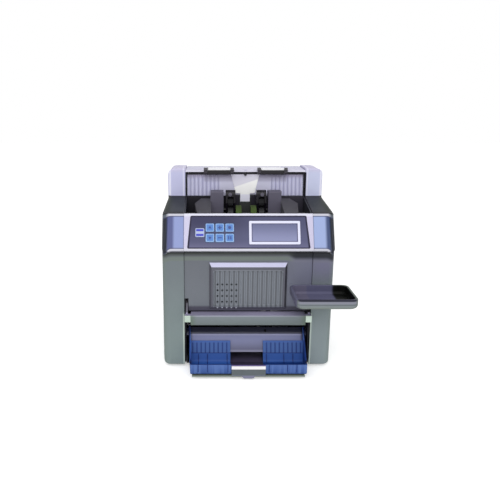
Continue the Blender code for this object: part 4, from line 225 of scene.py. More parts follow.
def finish(name, paint, *solids, rough=0.45, metal=0.0, shine=0.35, grain=0.5, tone=0.05, coat=0.0):
    """Makes a finish, whose colour paint works out from a place, and gives it to CAD solids."""
    material = bpy.data.materials.new(name)
    material.use_nodes = True
    material.node_tree.nodes.clear()
    plan = Plan(material.node_tree)
    spot = Spot(plan)
    colour = paint(plan, spot)
    clouds = plan.node("ShaderNodeTexNoise", None, {"Vector": spot.place, **CLOUDS})
    specks = plan.node("ShaderNodeTexNoise", None, {"Vector": spot.place, **SPECKS})
    level = clouds * (2 * tone) + specks * tone + (1 - 1.5 * tone)
    level = plan.node("ShaderNodeCombineXYZ", None, {0: level, 1: level, 2: level})
    shade = plan.node("ShaderNodeVectorMath", {"operation": "MULTIPLY"}, {0: colour, 1: level})
    relief = {"Strength": grain, "Distance": BUMP_HEIGHT, "Height": specks}
    bump = plan.node("ShaderNodeBump", None, relief)
    sockets = {
        "Base Color": shade, "Roughness": clouds * 0.16 + (rough - 0.08), "Normal": bump,
        "Metallic": metal, "Specular IOR Level": shine,
        "Coat Weight": coat, "Coat Roughness": COAT_ROUGH,
    }
    shader = plan.node("ShaderNodeBsdfPrincipled", None, sockets)
    plan.node("ShaderNodeOutputMaterial", None, {0: shader})
    for solid in solids:
        slots = nodes[solid].data.materials
        slots.clear()
        slots.append(material)
    FINISHES[name] = material
    print(name, "on", ", ".join(solids) or "added pieces")
    return material


def plain(*colour):
    """Paint of one colour, for pieces whose only change of tone is the slow one."""
    low = tuple(value * 0.97 for value in colour)
    return lambda plan, spot: plan.blend(plan.fade(spot.z, -40.0, 400.0), low, colour)


print("white is", rgb(255, 255, 255)[:3])

# %% [markdown]
# ### The grey-green mouldings
# The columns, the front door and the back are one moulded grey, with a cool painted shadow under the
# panel's edge. The door takes a violet tone towards its right side and has painted shade along its
# foot, where it turns in over the mouth. Each could be one flat colour and leave its shading to the
# lamps. Painting by place was chosen, because then one painted line of shadow runs over the columns
# and the door alike, and one function draws it for both.


# %% Columns and the panel's shadow
DEEPEST_DIP = 8.5


def corner_dip(plan, spot):
    """How far the silver lines bend down towards the machine's outer corners, in millimetres."""
    span = {"From Min": 124.5, "From Max": 134.5, "Value": spot.side}
    share = plan.node("ShaderNodeMapRange", None, span)
    return share * share * DEEPEST_DIP


def under_panel(plan, spot, height, body):
    """The panel's shadow on what stands under it, deeper at the right, over a paler green band."""
    right = plan.fade(spot.x, 62.0, 78.0)
    band = plan.blend(right, (114, 124, 117), (118, 119, 136))
    body = plan.blend(plan.within(height + right * 3.0, 187.4, 192.0, 2.4) * 0.8, body, band)
    shade = plan.blend(right, (66, 71, 68), (38, 41, 49))
    body = plan.blend(plan.fade(height + right * 5.5, 190.5, 198.5), body, shade)
    deepest = plan.blend(right, (46, 50, 49), (12, 13, 22))
    return plan.blend(plan.fade(height, 197.6, 199.2), body, deepest)


def column_paint(plan, spot):
    body = plan.blend(plan.fade(spot.z, 20.0, 200.0), (131, 145, 145), (114, 122, 127))
    # The lower right of the columns is painted lighter: painted light.
    low_right = plan.fade(spot.x, 60.0, 120.0) * plan.below(spot.z, 80.0, 140.0)
    body = plan.blend(low_right, body, (140, 152, 156))
    violet = plan.fade(spot.x, 60.0, 120.0) * plan.fade(spot.z, 130.0, 180.0)
    body = plan.blend(violet, body, (116, 116, 140))
    body = plan.blend(plan.fade(spot.side, 129.0, 140.0) * 0.5, body, (112, 128, 120))
    line = spot.z + corner_dip(plan, spot)
    front = plan.below(spot.y, 12.0, 22.0)
    # A painted highlight runs up the inner edge of each column's front.
    inner = plan.below(spot.side, 106.4, 107.2) * plan.below(spot.z, 92.0, 100.0)
    body = plan.blend(inner * front, body, (186, 200, 192))
    shadow_line = spot.z + corner_dip(plan, spot) * 0.35
    body = plan.blend(front, body, under_panel(plan, spot, shadow_line, body))
    # Painted shade darkens the silver line towards the outer edge, where the moulding turns away.
    silver = plan.blend(plan.fade(spot.side, 130.0, 134.0), (182, 186, 196), (62, 68, 78))
    body = plan.blend(plan.fade(line, 203.0, 203.6) * front, body, silver)
    return plan.blend(plan.fade(line, 206.4, 207.0) * front, body, (44, 50, 76))


finish("moulded column grey", column_paint, *both("side_cover"), rough=0.5)


# %% Front door
def door_paint(plan, spot):
    body = plan.blend(plan.fade(spot.z, 110.0, 200.0), (113, 118, 126), (106, 110, 118))
    body = plan.blend(plan.fade(spot.x, 20.0, 105.0), body, (115, 117, 137))
    # Painted shade along the door's foot, where it turns in over the mouth.
    body = plan.blend(plan.below(spot.z, 106.0, 110.5), body, (74, 73, 88))
    return under_panel(plan, spot, spot.z, body)


finish("moulded door grey", door_paint, "front_door", rough=0.5)


# %% Speaker grille and back
FLUTE_PITCH = 7.65


def grille_paint(plan, spot):
    # Painted shade in the grooves between the flutes.
    flutes = from_line(spot.x, FLUTE_PITCH)
    field = plan.blend(plan.fade(flutes, 0.6, 2.2), (92, 96, 103), (127, 132, 141))
    inside = plan.below(spot.side, 56.0, 57.4) * plan.below(spot.z, 169.0, 170.4)
    body = plan.blend(inside, (95, 96, 107), field)
    # A painted highlight along the field's top edge.
    head_highlight = plan.within(spot.z, 169.4, 170.6) * plan.below(spot.side, 50.0, 56.0)
    body = plan.blend(head_highlight, body, (142, 146, 155))
    proud = plan.below(spot.y, 1.9, 2.1)
    corner = (spot.side - 59.7) * 2.0 - (spot.z - 175.8)
    flank = plan.fade(spot.side, 59.7, 60.0) * plan.fade(corner, -0.3, 0.3)
    # A painted highlight on the top bevel, and painted shade on its flanks, darker at the right.
    flank_shade = plan.blend(plan.fade(spot.x, -10, 10), (74, 74, 84), (44, 44, 54))
    body = plan.blend(plan.fade(spot.z, 175.7, 176.0) * proud, body, (205, 204, 234))
    body = plan.blend(flank * proud, body, flank_shade)
    # Painted shade along the grille's foot.
    body = plan.blend(plan.below(spot.z, 105.0, 110.0), body, (78, 77, 92))
    away = squared(from_line(spot.x - FLUTE_PITCH / 2, FLUTE_PITCH), spot.z - 106.4)
    dots = plan.below(away, 0.9, 2.2) * plan.within(spot.x, -52.0, -16.0)
    return plan.blend(dots, body, (214, 218, 228))


finish("moulded grille grey", grille_paint, "speaker_grille", rough=0.5)
finish("moulded back grey", plain(130, 136, 142), "rear_cover", "rear_door", rough=0.55)


# %% Side tray
tray_low, tray_high = ruled(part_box("side_tray"))
TRAY_HALF = (tray_high.x - tray_low.x) / 2
TRAY_MIDDLE = tray_high.x - TRAY_HALF


def tray_paint(plan, spot):
    # The left wall and the rim over the machine are painted lavender, as the machine would show through
    # the tinted plastic: a painted view through.
    outside = plan.blend(plan.fade(spot.x, 67.0, 70.0), (92, 91, 112), (112, 120, 116))
    rim = plan.blend(plan.fade(spot.x, 134.0, 140.0), (92, 92, 114), (104, 112, 106))
    # Painted shadow on the rim along the front.
    rim = plan.blend(plan.fade(spot.y, -80.4, -80.0), (60, 58, 78), rim)
    far_end = plan.fade(spot.y, -12.0, -6.0) * plan.fade(spot.x, 134.0, 140.0)
    rim = plan.blend(far_end, rim, (58, 58, 58))
    outside = plan.blend(plan.fade(spot.z, 146.8, 147.2), outside, rim)
    front = plan.blend(plan.fade(spot.z, 132.5, 139.0), (134, 144, 138), (129, 137, 140))
    front = plan.blend(plan.within(spot.z, 139.4, 140.4, 0.6), front, (104, 110, 116))
    # A painted highlight below the front's top edge, with painted shade over the top edge.
    front = plan.blend(plan.fade(spot.z, 140.8, 141.8), front, (136, 138, 151))
    front = plan.blend(plan.fade(spot.z, 144.4, 145.8), front, (44, 44, 58))
    body = plan.blend(plan.fade(spot.y, -83.2, -80.0), front, outside)
    across = plan.below(abs(spot.x - TRAY_MIDDLE), TRAY_HALF - 3.6, TRAY_HALF - 3.2)
    along = plan.below(abs(spot.y + 45.25), 35.2, 35.6)
    inside = across * along * plan.fade(spot.z, 133.5, 133.8) * plan.below(spot.z, 147.2, 147.6)
    # The inside is a painted view through the tinted plastic: the machine's grey where the machine stands
    # behind it, and black beyond its side.
    painted_view = plan.blend(plan.fade(spot.x, 92.0, 96.0), (104, 101, 123), (94, 94, 121))
    painted_view = plan.blend(plan.fade(spot.x, 133.0, 138.0), painted_view, (4, 5, 3))
    return plan.blend(inside, body, painted_view)


finish("moulded tray grey", tray_paint, "side_tray", rough=0.5, shine=0.15)

# %% [markdown]
# ### Silver, blue and lavender paint
# The panel's frame and the rail over the hopper are silver. The wings beside the panel carry on its
# silver lines at their foot and head, with metallic blue between, and painted shade darkens the blue
# and the silver to a dark edge where the moulding turns away. The sides of the hopper are lavender
# above a straight line and dark slate below it, with painted highlights along their edges, painted
# shade in the creases of the slate, and painted shade on the inside. The lines could be strips of
# their own, but on the real mouldings only the paint changes there. So a place's distance up the
# slope picks the colour, and the lines stay straight from the frame to the wings.


# %% Panel frame
def silver_paint(plan, spot):
    body = plan.blend(plan.fade(spot.v, 4.0, 58.0), (197, 196, 210), (213, 212, 230))
    body = plan.blend(plan.below(spot.v, 0.5, 1.5), body, (96, 98, 108))
    sides = plan.fade(spot.side, 91.0, 94.0) * plan.within(spot.v, 5.5, 57.5, 0.8)
    body = plan.blend(sides, body, (193, 189, 217))
    rear = plan.fade(spot.y, 21.0, 23.0)
    return plan.blend(rear, body, (190, 190, 212))


finish(
    "silver paint", silver_paint, "panel_bezel", rough=0.35, shine=0.5, coat=0.2, grain=0.2, tone=0.03
)


# %% Panel wings
def wing_paint(plan, spot):
    # Painted shade darkens the blue towards the outer edge, where the moulding turns away, differently at
    # the left and the right.
    left = plan.blend(plan.fade(spot.side, 118.5, 124.0), (136, 149, 200), (70, 78, 132))
    right = plan.blend(plan.fade(spot.side, 122.0, 127.6), (154, 171, 216), (46, 66, 112))
    body = plan.blend(spot.right(), left, right)
    body = plan.blend(plan.fade(spot.side, 129.5, 133.0), body, (14, 22, 38))
    body = plan.blend(plan.fade(spot.depth, 11.0, 17.0), body, (74, 82, 118))
    bend = corner_dip(plan, spot) * plan.below(spot.depth, 12.0, 22.0)
    low, high = spot.v + bend, spot.v + bend * 0.3
    lined = plan.within(low, 4.6, 6.0, 0.4) + plan.within(high, 57.2, 58.6, 0.4)
    lined = lined + plan.within(spot.side, 104.0, 105.4) * plan.within(spot.v, 4.6, 58.6) * 0.5
    body = plan.blend(lined * plan.below(spot.depth, 4.0, 8.0) * 0.7, body, (52, 56, 92))
    # Painted shade darkens the silver lines towards the outer edge.
    silver = plan.blend(plan.fade(spot.side, 128.0, 135.0), (197, 197, 209), (84, 92, 104))
    body = plan.blend(plan.below(low, 4.2, 4.6), body, silver)
    body = plan.blend(plan.below(low, 0.5, 1.5), body, (96, 98, 108))
    body = plan.blend(plan.fade(high, 58.6, 59.0), body, silver)
    return plan.blend(plan.fade(high, 63.0, 63.4), body, (62, 68, 70))


finish(
    "wing paint", wing_paint, *both("panel_wing"), rough=0.38, shine=0.3, coat=0.1, grain=0.15, tone=0.04
)


# %% Hopper sides
def hopper_side_paint(plan, spot):
    tone = plan.blend(spot.right(), (198, 199, 232), (203, 208, 236))
    tone = plan.blend(plan.fade(spot.z, 314.0, 324.0), tone, (207, 203, 229))
    # Painted highlights along the outer and inner edges of the lavender.
    rim_highlights = plan.within(spot.side, 130.6, 133.4, 0.8) + plan.within(spot.side, 107.4, 109.0, 0.8) * 0.6
    tone = plan.blend(rim_highlights, tone, (232, 232, 250))
    slate = plan.blend(plan.fade(spot.z, 262.0, 273.0), (48, 52, 60), (34, 38, 45))
    # Painted shade: the right slope is darker, and dark painted lines lie in the creases at the slope's
    # foot and head.
    slate = plan.blend(spot.right() * 0.4, slate, (24, 30, 34))
    slate = plan.blend(plan.fade(spot.side, 122.0, 134.0), slate, (22, 32, 25))
    slate = plan.blend(plan.below(spot.z, 260.5, 262.5), slate, (28, 29, 34))
    slate = plan.blend(plan.fade(spot.z, 273.0, 275.0), slate, (28, 29, 34))
    body = plan.blend(plan.fade(spot.z, 275.6, 276.4), slate, tone)
    # Painted shade on the inside face, deepest at the left, low down.
    edge = spot.side - spot.right() * 1.2
    inner = plan.below(edge, 104.8, 105.3) * plan.below(spot.z, 316.0, 317.5)
    low_left = plan.below(spot.x, -5.0, 5.0) * plan.below(spot.z, 266.0, 274.0)
    return plan.blend(inner, body, plan.blend(low_left, (34, 31, 40), (84, 86, 92)))


finish(
    "hopper side paint", hopper_side_paint, *both("hopper_side"), rough=0.5, shine=0.25, grain=0.25,
    tone=0.03,
)


# %% Top rail
def rail_paint(plan, spot):
    top = plan.blend(plan.fade(spot.side, 10.0, 100.0), (213, 211, 234), (194, 193, 222))
    top = plan.blend(plan.below(spot.y, 107.4, 108.6), top, (226, 224, 242))
    ears = plan.below(spot.y, 106.4, 107.0)
    hinge = plan.fade(spot.z, 321.3, 321.8)
    return plan.blend(hinge.math("MAXIMUM", ears, hinge), top, (48, 44, 54))


finish("rail paint", rail_paint, "top_rail", rough=0.35, shine=0.45, grain=0.2, tone=0.04)

# %% [markdown]
# ### Inside the hopper
# The back wall is ribbed, and painted shade lies in the gaps between the ribs, with a painted shadow
# of the rail and of the note supports along its head. The white plate in its middle is glossy and
# shows a painted reflection: a soft diagonal of grey. The floor, the guide blocks and the arms are
# black and grey plastics of slightly different gloss, with painted shade at the back of the floor
# and in the throat. The ribs are solid already and could be left to the light. They are shallow,
# and a soft sky reaches into every gap, so the gaps get painted shade, by the distance from the
# nearest rib.


# %% Ribbed wall
def wall_paint(plan, spot):
    # Painted shade in the gaps between the ribs.
    ribs = from_line(spot.side - 50.1, 7.04)
    ribbed = plan.blend(plan.fade(ribs, 1.8, 3.0), (206, 206, 233), (162, 161, 192))
    body = plan.blend(plan.fade(spot.side, 42.5, 46.5), (206, 205, 228), ribbed)
    # A painted shadow of the rail along the head, painted shadows under the supports, a dark painted line
    # right under the rail, and painted shade in the throat.
    shaded = plan.blend(plan.fade(spot.z, 303.0, 312.0), body, (168, 162, 188))
    support_shadow = plan.within(spot.side, 24.0, 70.0, 6.0) * plan.fade(spot.z, 297.0, 303.0) * 0.5
    shaded = plan.blend(support_shadow, shaded, (152, 148, 172))
    shaded = plan.blend(plan.fade(spot.z, 311.6, 312.4), shaded, (40, 37, 46))
    throat = plan.below(spot.side, 20.0, 22.0) * plan.below(spot.z, 276.0, 279.0)
    shaded = plan.blend(throat, shaded, (44, 46, 46))
    behind_front = spot.y - (spot.z - 237.8) * 0.065
    return plan.blend(plan.fade(behind_front, 110.9, 111.3), shaded, (150, 150, 168))


finish("ribbed wall plastic", wall_paint, "hopper_back_wall", rough=0.45, grain=0.3, tone=0.04)


# %% White guide plate
def guide_paint(plan, spot):
    # A painted reflection: a soft diagonal of grey above glossy white.
    line = spot.z - (spot.x + 20.0) * 0.335 - 290.4
    grey = plan.blend(plan.fade(line, 0.0, 16.0), (224, 222, 237), (208, 205, 224))
    body = plan.blend(plan.fade(line, -1.5, 1.0), (255, 255, 255), grey)
    return plan.blend(plan.below(spot.z, 277.0, 278.5), body, (238, 238, 255))


finish(
    "white guide plastic", guide_paint, "centre_guide", rough=0.25, shine=0.9, coat=0.6, grain=0.1,
    tone=0.01,
)


# %% Hopper floor and arms
def floor_paint(plan, spot):
    body = plan.blend(plan.fade(spot.side, 62.0, 96.0), (72, 71, 77), (64, 62, 68))
    # Painted shade at the back of the floor, deeper at the left.
    rear = plan.blend(spot.right(), (14, 12, 24), (48, 46, 58))
    body = plan.blend(plan.fade(spot.y, 99.0, 107.0), body, rear)
    blocks = plan.fade(spot.side, 38.0, 38.4) * plan.below(spot.side, 61.0, 61.4)
    blocks = blocks * plan.fade(spot.y, 84.4, 84.9)
    body = plan.blend(blocks, body, (96, 93, 109))
    # Painted shade in the throat.
    throat = plan.below(spot.side, 36.5, 37.5) * plan.fade(spot.y, 92.0, 94.0)
    return plan.blend(throat, body, (34, 31, 42))


finish("hopper floor plastic", floor_paint, "hopper_floor", rough=0.5, shine=0.25, tone=0.06)
finish("black arm plastic", plain(15, 12, 20), *both("roller_arm"), rough=0.3, shine=0.2, tone=0.2)

# %% [markdown]
# ### Supports, rubber and metal
# Rubber is matt and dark, and steel is bright or nearly black. The feed shaft is one solid with
# rubber on it, and it could be split in two for the finishes. Its paint goes by the distance from
# the shaft's middle instead, so that it stays one turned piece. The gap screw's pale head and dark
# shank are told apart by height in the same way.


# %% Note supports
def support_paint(plan, spot):
    ears = plan.within(spot.x, -70.0, -65.2) + plan.within(spot.x, 23.2, 28.0)
    # The lip below the white top is dark, partly its own dark plastic and partly painted shade under the
    # rail.
    top = plan.fade(spot.z, 320.8, 321.2) * (1 - ears)
    return plan.blend(top, (26, 23, 30), (244, 244, 252))


finish("white support grip", plain(250, 250, 255), rough=0.35, shine=0.4, grain=0.1, tone=0.01)
finish("note support plastic", support_paint, *both("note_support"), rough=0.35, grain=0.2, tone=0.02)


# %% Screw, rubber and steel
def screw_paint(plan, spot):
    return plan.blend(plan.fade(spot.z, 318.0, 319.0), (30, 29, 34), (206, 204, 228))


def green_paint(plan, spot):
    return plan.blend(plan.fade(spot.y, 70.0, 82.0), (78, 98, 50), (66, 80, 46))


finish("green feed rubber", green_paint, *both("kicker_roller"), rough=0.7, shine=0.2, tone=0.12)
finish(
    "black rubber", plain(34, 34, 37), "foot_1", "foot_2", "foot_3", "foot_4", *both("arm_roller"),
    "drive_belt", "feed_belt", "transport_drum", *both("stacking_wheel"), "motor_pulley",
    rough=0.75, shine=0.2, tone=0.15,
)
finish(
    "turned steel", plain(176, 178, 182), "stacker_shaft", rough=0.3, metal=0.9, shine=0.5,
    grain=0.15, tone=0.06,
)
finish("gap screw steel", screw_paint, "gap_screw", rough=0.35, shine=0.4, grain=0.1)
finish("black oxide steel", plain(36, 35, 40), rough=0.35, metal=0.4, grain=0.15, tone=0.06)


# %% Feed shaft and motor
SHAFT_Y, SHAFT_Z = 86.0, 245.0


def feed_shaft_paint(plan, spot):
    away = squared(spot.y - SHAFT_Y, spot.z - SHAFT_Z)
    return plan.blend(plan.fade(away, 30.0, 36.0), (150, 150, 152), (30, 30, 33))


finish(
    "feed shaft rubber and steel", feed_shaft_paint, "feed_shaft", rough=0.5, shine=0.3, grain=0.3,
    tone=0.08,
)
finish(
    "zinc motor can", plain(150, 152, 156), "drive_motor", rough=0.35, metal=0.8, shine=0.5,
    grain=0.2, tone=0.08,
)

# %% [markdown]
# ### Panel, display and keys
# The membrane behind the keys is printed slate that is darker at its top left. The display is a
# tinted window in a glossy white frame. It could be clear with a display behind it, but an unlit
# display shows only its tint, so one glossy finish does. The keys are clear blue caps, whose
# printed faces are added further on.


# %% Membrane
def membrane_paint(plan, spot):
    low = plan.blend(plan.fade(spot.v, 2.0, 20.0), (106, 105, 138), (80, 81, 113))
    body = plan.blend(plan.fade(spot.v, 20.0, 52.0), low, (55, 55, 86))
    body = plan.blend(plan.fade(spot.x, -40.0, 20.0) * 0.35, body, (102, 104, 138))
    # A painted shadow along the membrane's edges.
    edge = 98.5 - spot.v * 0.083 - spot.side
    rim = plan.within(spot.v, 7.4, 56.4, 1.2) * plan.fade(edge, 1.2, 3.0)
    return plan.blend(rim, (34, 31, 58), body)


finish(
    "printed slate membrane", membrane_paint, "key_membrane", rough=0.45, shine=0.2, grain=0.2, tone=0.05
)


# %% Display
def window_paint(plan, spot):
    return plan.blend(plan.fade(spot.v, 16.0, 46.0), (125, 130, 172), (84, 89, 132))


def display_frame_paint(plan, spot):
    across, up = abs(spot.x - 41.9) - 36.9, abs(spot.v - 30.9) - 15.0
    nearest = across.math("MAXIMUM", across, up)
    return plan.blend(plan.fade(nearest, 0.0, 0.5), (66, 64, 112), (222, 223, 245))


finish(
    "tinted display window", window_paint, "display_window", rough=0.16, shine=0.3, grain=0.0,
    tone=0.04, coat=0.1,
)
finish(
    "white display plastic", display_frame_paint, "display_frame", rough=0.3, shine=0.4, grain=0.05,
    tone=0.02,
)


# %% Keys and the board behind them
def key_paint(plan, spot):
    return plan.blend(plan.fade(spot.v, 14.0, 46.0), (140, 180, 228), (132, 172, 226))


finish(
    "glossy white plastic", plain(176, 188, 222), "key_7", rough=0.35, shine=0.4, grain=0.05, tone=0.02
)
finish(
    "clear blue key cap", key_paint, *(f"key_{i}" for i in range(1, 7)), rough=0.25, shine=0.5,
    grain=0.05, tone=0.03,
)
finish("green circuit board", plain(34, 92, 54), "control_board", rough=0.4, shine=0.5, tone=0.1)

# %% [markdown]
# ### The mouth, the trays and the back
# The exit flap is grey in front and lavender on top, with pale end caps and dark arms, painted light
# on its top, a painted highlight along its edge and painted shade underneath. The plate behind it is
# lavender, with painted highlights along its lip and head and painted shade at its ends. The trays
# are a strong blue that is lighter on the lip, with painted shade in the grooves, on the side walls
# and behind the lip, and the grey piece between them has a painted highlight along its edge in front
# of a recess with painted shade. At the back, the mains inlet is black plastic with bright blades.
# Each of them is one solid with several tones. A slot for each face could hold them, but the faces
# of a CAD solid have no names, so a place on the machine tells them apart.


# %% Exit flap
def flap_paint(plan, spot):
    front = plan.blend(plan.fade(spot.z, 82.0, 95.5), (112, 122, 124), (124, 133, 138))
    front = plan.blend(plan.below(spot.z, 81.0, 82.4), front, (150, 158, 160))
    # A painted highlight along the top edge of the front.
    front = plan.blend(plan.fade(spot.z, 95.8, 96.6), front, (150, 154, 168))
    front = plan.blend(plan.fade(spot.side, 82.0, 93.0) * 0.6, front, (98, 118, 98))
    # Painted light on the top, which the door overhangs, lighter at the right.
    lit_shelf = plan.blend(plan.fade(spot.x, -40.0, 40.0), (148, 144, 170), (166, 161, 190))
    body = plan.blend(plan.fade(spot.y, -15.2, -14.2), front, lit_shelf)
    ends = plan.fade(spot.side, 93.7, 94.2)
    arms = ends * plan.fade(spot.y, -5.9, -5.4)
    tone = plan.within(spot.z, 101.0, 112.0, 1.0) * plan.below(spot.x, -5.0, 5.0)
    body = plan.blend(arms, body, plan.blend(tone, (30, 28, 36), (96, 95, 107)))
    caps = ends * plan.below(spot.y, -5.9, -5.4) * plan.below(spot.z, 97.3, 97.7)
    under = plan.below(spot.z, 96.2, 97.0)
    body = plan.blend(under, body, front)
    # Painted shade underneath, behind the front.
    body = plan.blend(plan.fade(spot.y, -12.0, -8.0) * under, body, (26, 24, 30))
    # The left cap is painted darker than the right: painted shade.
    pale = plan.blend(spot.right(), (192, 210, 197), (224, 243, 229))
    return plan.blend(caps, body, pale)


finish("exit flap plastic", flap_paint, "exit_flap", rough=0.45)


# %% Stacker plate
def plate_paint(plan, spot):
    body = plan.blend(plan.fade(spot.z, 24.0, 46.0), (96, 97, 128), (139, 144, 187))
    # Painted highlights along the lower lip and along the head.
    body = plan.blend(plan.below(spot.z, 25.5, 28.5), body, (140, 140, 170))
    body = plan.blend(plan.within(spot.z, 49.6, 51.0, 0.5), body, (170, 172, 208))
    body = plan.blend(plan.fade(spot.z, 51.4, 52.2), body, (62, 64, 84))
    hole = plan.below(squared(spot.x - 32.4, spot.z - 56.0), 2.0, 4.0)
    body = plan.blend(hole, body, (10, 9, 12))
    # Painted shade at the plate's ends, deeper at the right.
    ends = plan.fade(spot.side, 90.0, 97.0) * (spot.right() * 0.22 + 0.6)
    return plan.blend(ends, body, (30, 34, 72))


finish("lavender plate", plate_paint, "stacker_plate", rough=0.4, grain=0.3)


# %% Blue trays
def blue_paint(plan, spot):
    along = {0: spot.place, 1: (1.0, 0.05, 0.05)}
    drawn = plan.node("ShaderNodeVectorMath", {"operation": "MULTIPLY"}, along)
    streaks = plan.node("ShaderNodeTexNoise", None, {"Vector": drawn, "Scale": 0.22, "Detail": 1.0})
    lip = plan.blend(plan.fade(spot.z, 10.0, 24.0), (60, 90, 154), (78, 107, 171))
    lip = plan.blend(plan.fade(streaks, 0.42, 0.68) * 0.6, lip, (94, 124, 186))
    floor = plan.blend(plan.fade(spot.y, -36.0, -6.0), (26, 54, 124), (50, 92, 172))
    floor = plan.blend(plan.fade(spot.x, -20.0, 20.0) * 0.8, floor, (12, 44, 112))
    # Painted shade on the floor behind the lip.
    floor = plan.blend(plan.below(spot.y, -38.0, -33.0), floor, (6, 18, 64))
    # Painted shade in the slope's grooves.
    grooves = from_line(spot.side - 33.7, 7.2)
    upper = plan.blend(plan.fade(grooves, 0.7, 1.6), (46, 76, 146), (74, 108, 176))
    upper = plan.blend(plan.fade(spot.z, 39.6, 40.4), upper, (76, 112, 188))
    lower = plan.blend(plan.fade(spot.z, 22.8, 23.6), (50, 92, 172), (24, 44, 108))
    slope = plan.blend(plan.fade(spot.z, 24.0, 24.4), lower, upper)
    body = plan.blend(plan.fade(spot.y, -43.6, -42.6), lip, floor)
    body = plan.blend(plan.fade(spot.y, -3.0, 0.0), body, slope)
    # Painted shade on the side walls, deeper at the right.
    wall = plan.blend(spot.right(), (34, 42, 90), (20, 28, 72))
    body = plan.blend(plan.fade(spot.side, 95.2, 95.8) * plan.fade(spot.z, 26.0, 36.0), body, wall)
    lip_top = plan.fade(spot.z, 24.6, 25.0) * plan.below(spot.y, -42.4, -41.6)
    return plan.blend(lip_top, body, (34, 58, 120))


finish(
    "blue tray plastic", blue_paint, *both("stacker_tray"), rough=0.5, shine=0.25, grain=0.1, tone=0.06
)


# %% Grey piece between the trays
def centre_paint(plan, spot):
    # A painted highlight along the front's edge, with painted shade above it and behind the front.
    front = plan.blend(plan.fade(spot.z, 18.0, 18.8), (100, 108, 112), (255, 253, 255))
    front = plan.blend(plan.fade(spot.z, 23.4, 24.2), front, (60, 56, 72))
    front = plan.blend(plan.below(spot.z, 7.0, 8.4), front, (132, 134, 158))
    body = plan.blend(plan.fade(spot.y, -46.2, -45.6), front, (57, 52, 76))
    return plan.blend(plan.fade(spot.z, 24.0, 24.5), body, (124, 112, 166))


finish("stacker centre plastic", centre_paint, "stacker_centre", rough=0.4, shine=0.25)


# %% Steel frame
def frame_paint(plan, spot):
    body = plan.blend(plan.fade(spot.z, -40.0, 400.0), (50, 51, 58), (52, 53, 60))
    tongue = plan.below(spot.y, -1.0, 1.0) * plan.below(spot.z, 6.6, 7.0)
    body = plan.blend(tongue, body, (140, 150, 140))
    # The floor inside the mouth is painted lighter: painted light.
    mouth = plan.below(spot.side, 26.0, 30.0) * plan.within(spot.y, 3.0, 50.0, 2.0)
    return plan.blend(mouth * plan.below(spot.z, 9.0, 12.0), body, (87, 80, 109))


finish(
    "coated frame steel", frame_paint, "base_plate", *both("side_frame"), rough=0.45, metal=0.2,
    shine=0.3, tone=0.08,
)


# %% Inlet, supply and switch
def inlet_paint(plan, spot):
    blade = plan.below(abs(spot.x + 63.5), 9.6, 9.9) * plan.below(abs(spot.z - 40.0), 6.4, 6.8)
    blade = blade * plan.fade(spot.y, 233.2, 233.5) * plan.below(spot.y, 246.0, 246.4)
    return plan.blend(blade, (30, 30, 33), (190, 190, 186))


finish("inlet plastic", inlet_paint, "power_inlet", rough=0.4, shine=0.3)
finish(
    "folded zinc sheet", plain(168, 172, 174), "power_supply", rough=0.35, metal=0.7, grain=0.2, tone=0.1
)
finish("red switch plastic", plain(176, 34, 30), "power_switch", rough=0.3, shine=0.5, grain=0.1)
undressed = [name for name, node in nodes.items() if node.data.materials[0].name not in FINISHES]
print(len(FINISHES), "finishes, undressed:", undressed)

# %% [markdown]
# ## Tools for the added pieces
# Added pieces are small solids: an outline with a softened top edge, set on whatever carries it.
# They could be primitives with a Bevel modifier. One function that draws a solid from an outline
# and a rule was chosen instead. The rule puts a flat point and a height in place, so the same
# outline can lie on the sloping panel, on the rail or on an arm. Faces are turned outwards at the
# end, so that an outline may run either way round.


# %% Solids from outlines
link = bpy.context.scene.collection.objects.link


def rounded_square(size, corner, steps=3):
    """The outline of a square with round corners about the origin."""
    points = []
    for quarter in range(4):
        turn = math.pi / 2 * quarter
        middle = size / 2 - corner
        centre = Vector((middle * (1, -1, -1, 1)[quarter], middle * (1, 1, -1, -1)[quarter]))
        for step in range(steps + 1):
            angle = turn + math.pi / 2 * step / steps
            points.append((centre[0] + corner * math.cos(angle), centre[1] + corner * math.sin(angle)))
    return points


def disc(radius, count=20, turn=0.0):
    """The outline of a disc, or of a triangle when the count is 3."""
    angles = [turn + math.tau * i / count for i in range(count)]
    return [(radius * math.cos(angle), radius * math.sin(angle)) for angle in angles]


def rectangle(left, right, low, high):
    return [(left, low), (right, low), (right, high), (left, high)]


def add_solid(bm, outline, place, low, high, soften=0.0, slot=0):
    """A closed solid from low to high over an outline, whose top edge is softened by drawing it in."""
    centre_a = sum(a for a, _ in outline) / len(outline)
    centre_b = sum(b for _, b in outline) / len(outline)
    reach = max(math.hypot(a - centre_a, b - centre_b) for a, b in outline)
    levels = [(low, 1.0), (high - soften, 1.0)]
    if soften:
        levels.append((high, 1 - soften / reach))
    rings = []
    for height, share in levels:
        flat = [((a - centre_a) * share, (b - centre_b) * share) for a, b in outline]
        rings.append([bm.verts.new(place(centre_a + a, centre_b + b, height)) for a, b in flat])
    made = [bm.faces.new(rings[0][::-1]), bm.faces.new(rings[-1])]
    for below, above in zip(rings, rings[1:]):
        for i in range(len(below)):
            j = (i + 1) % len(below)
            made.append(bm.faces.new((below[i], below[j], above[j], above[i])))
    for face in made:
        face.material_index = slot


def make_object(name, bm, *materials, smooth=None):
    """Turns the faces outwards and makes an object of them."""
    bmesh.ops.recalc_face_normals(bm, faces=bm.faces)
    mesh = bpy.data.meshes.new(name)
    bm.to_mesh(mesh)
    bm.free()
    for material in materials:
        mesh.materials.append(material)
    made = bpy.data.objects.new(name, mesh)
    link(made)
    if smooth is not None:
        mesh.shade_smooth()
        mesh.set_sharp_from_angle(angle=math.radians(smooth))
    return made


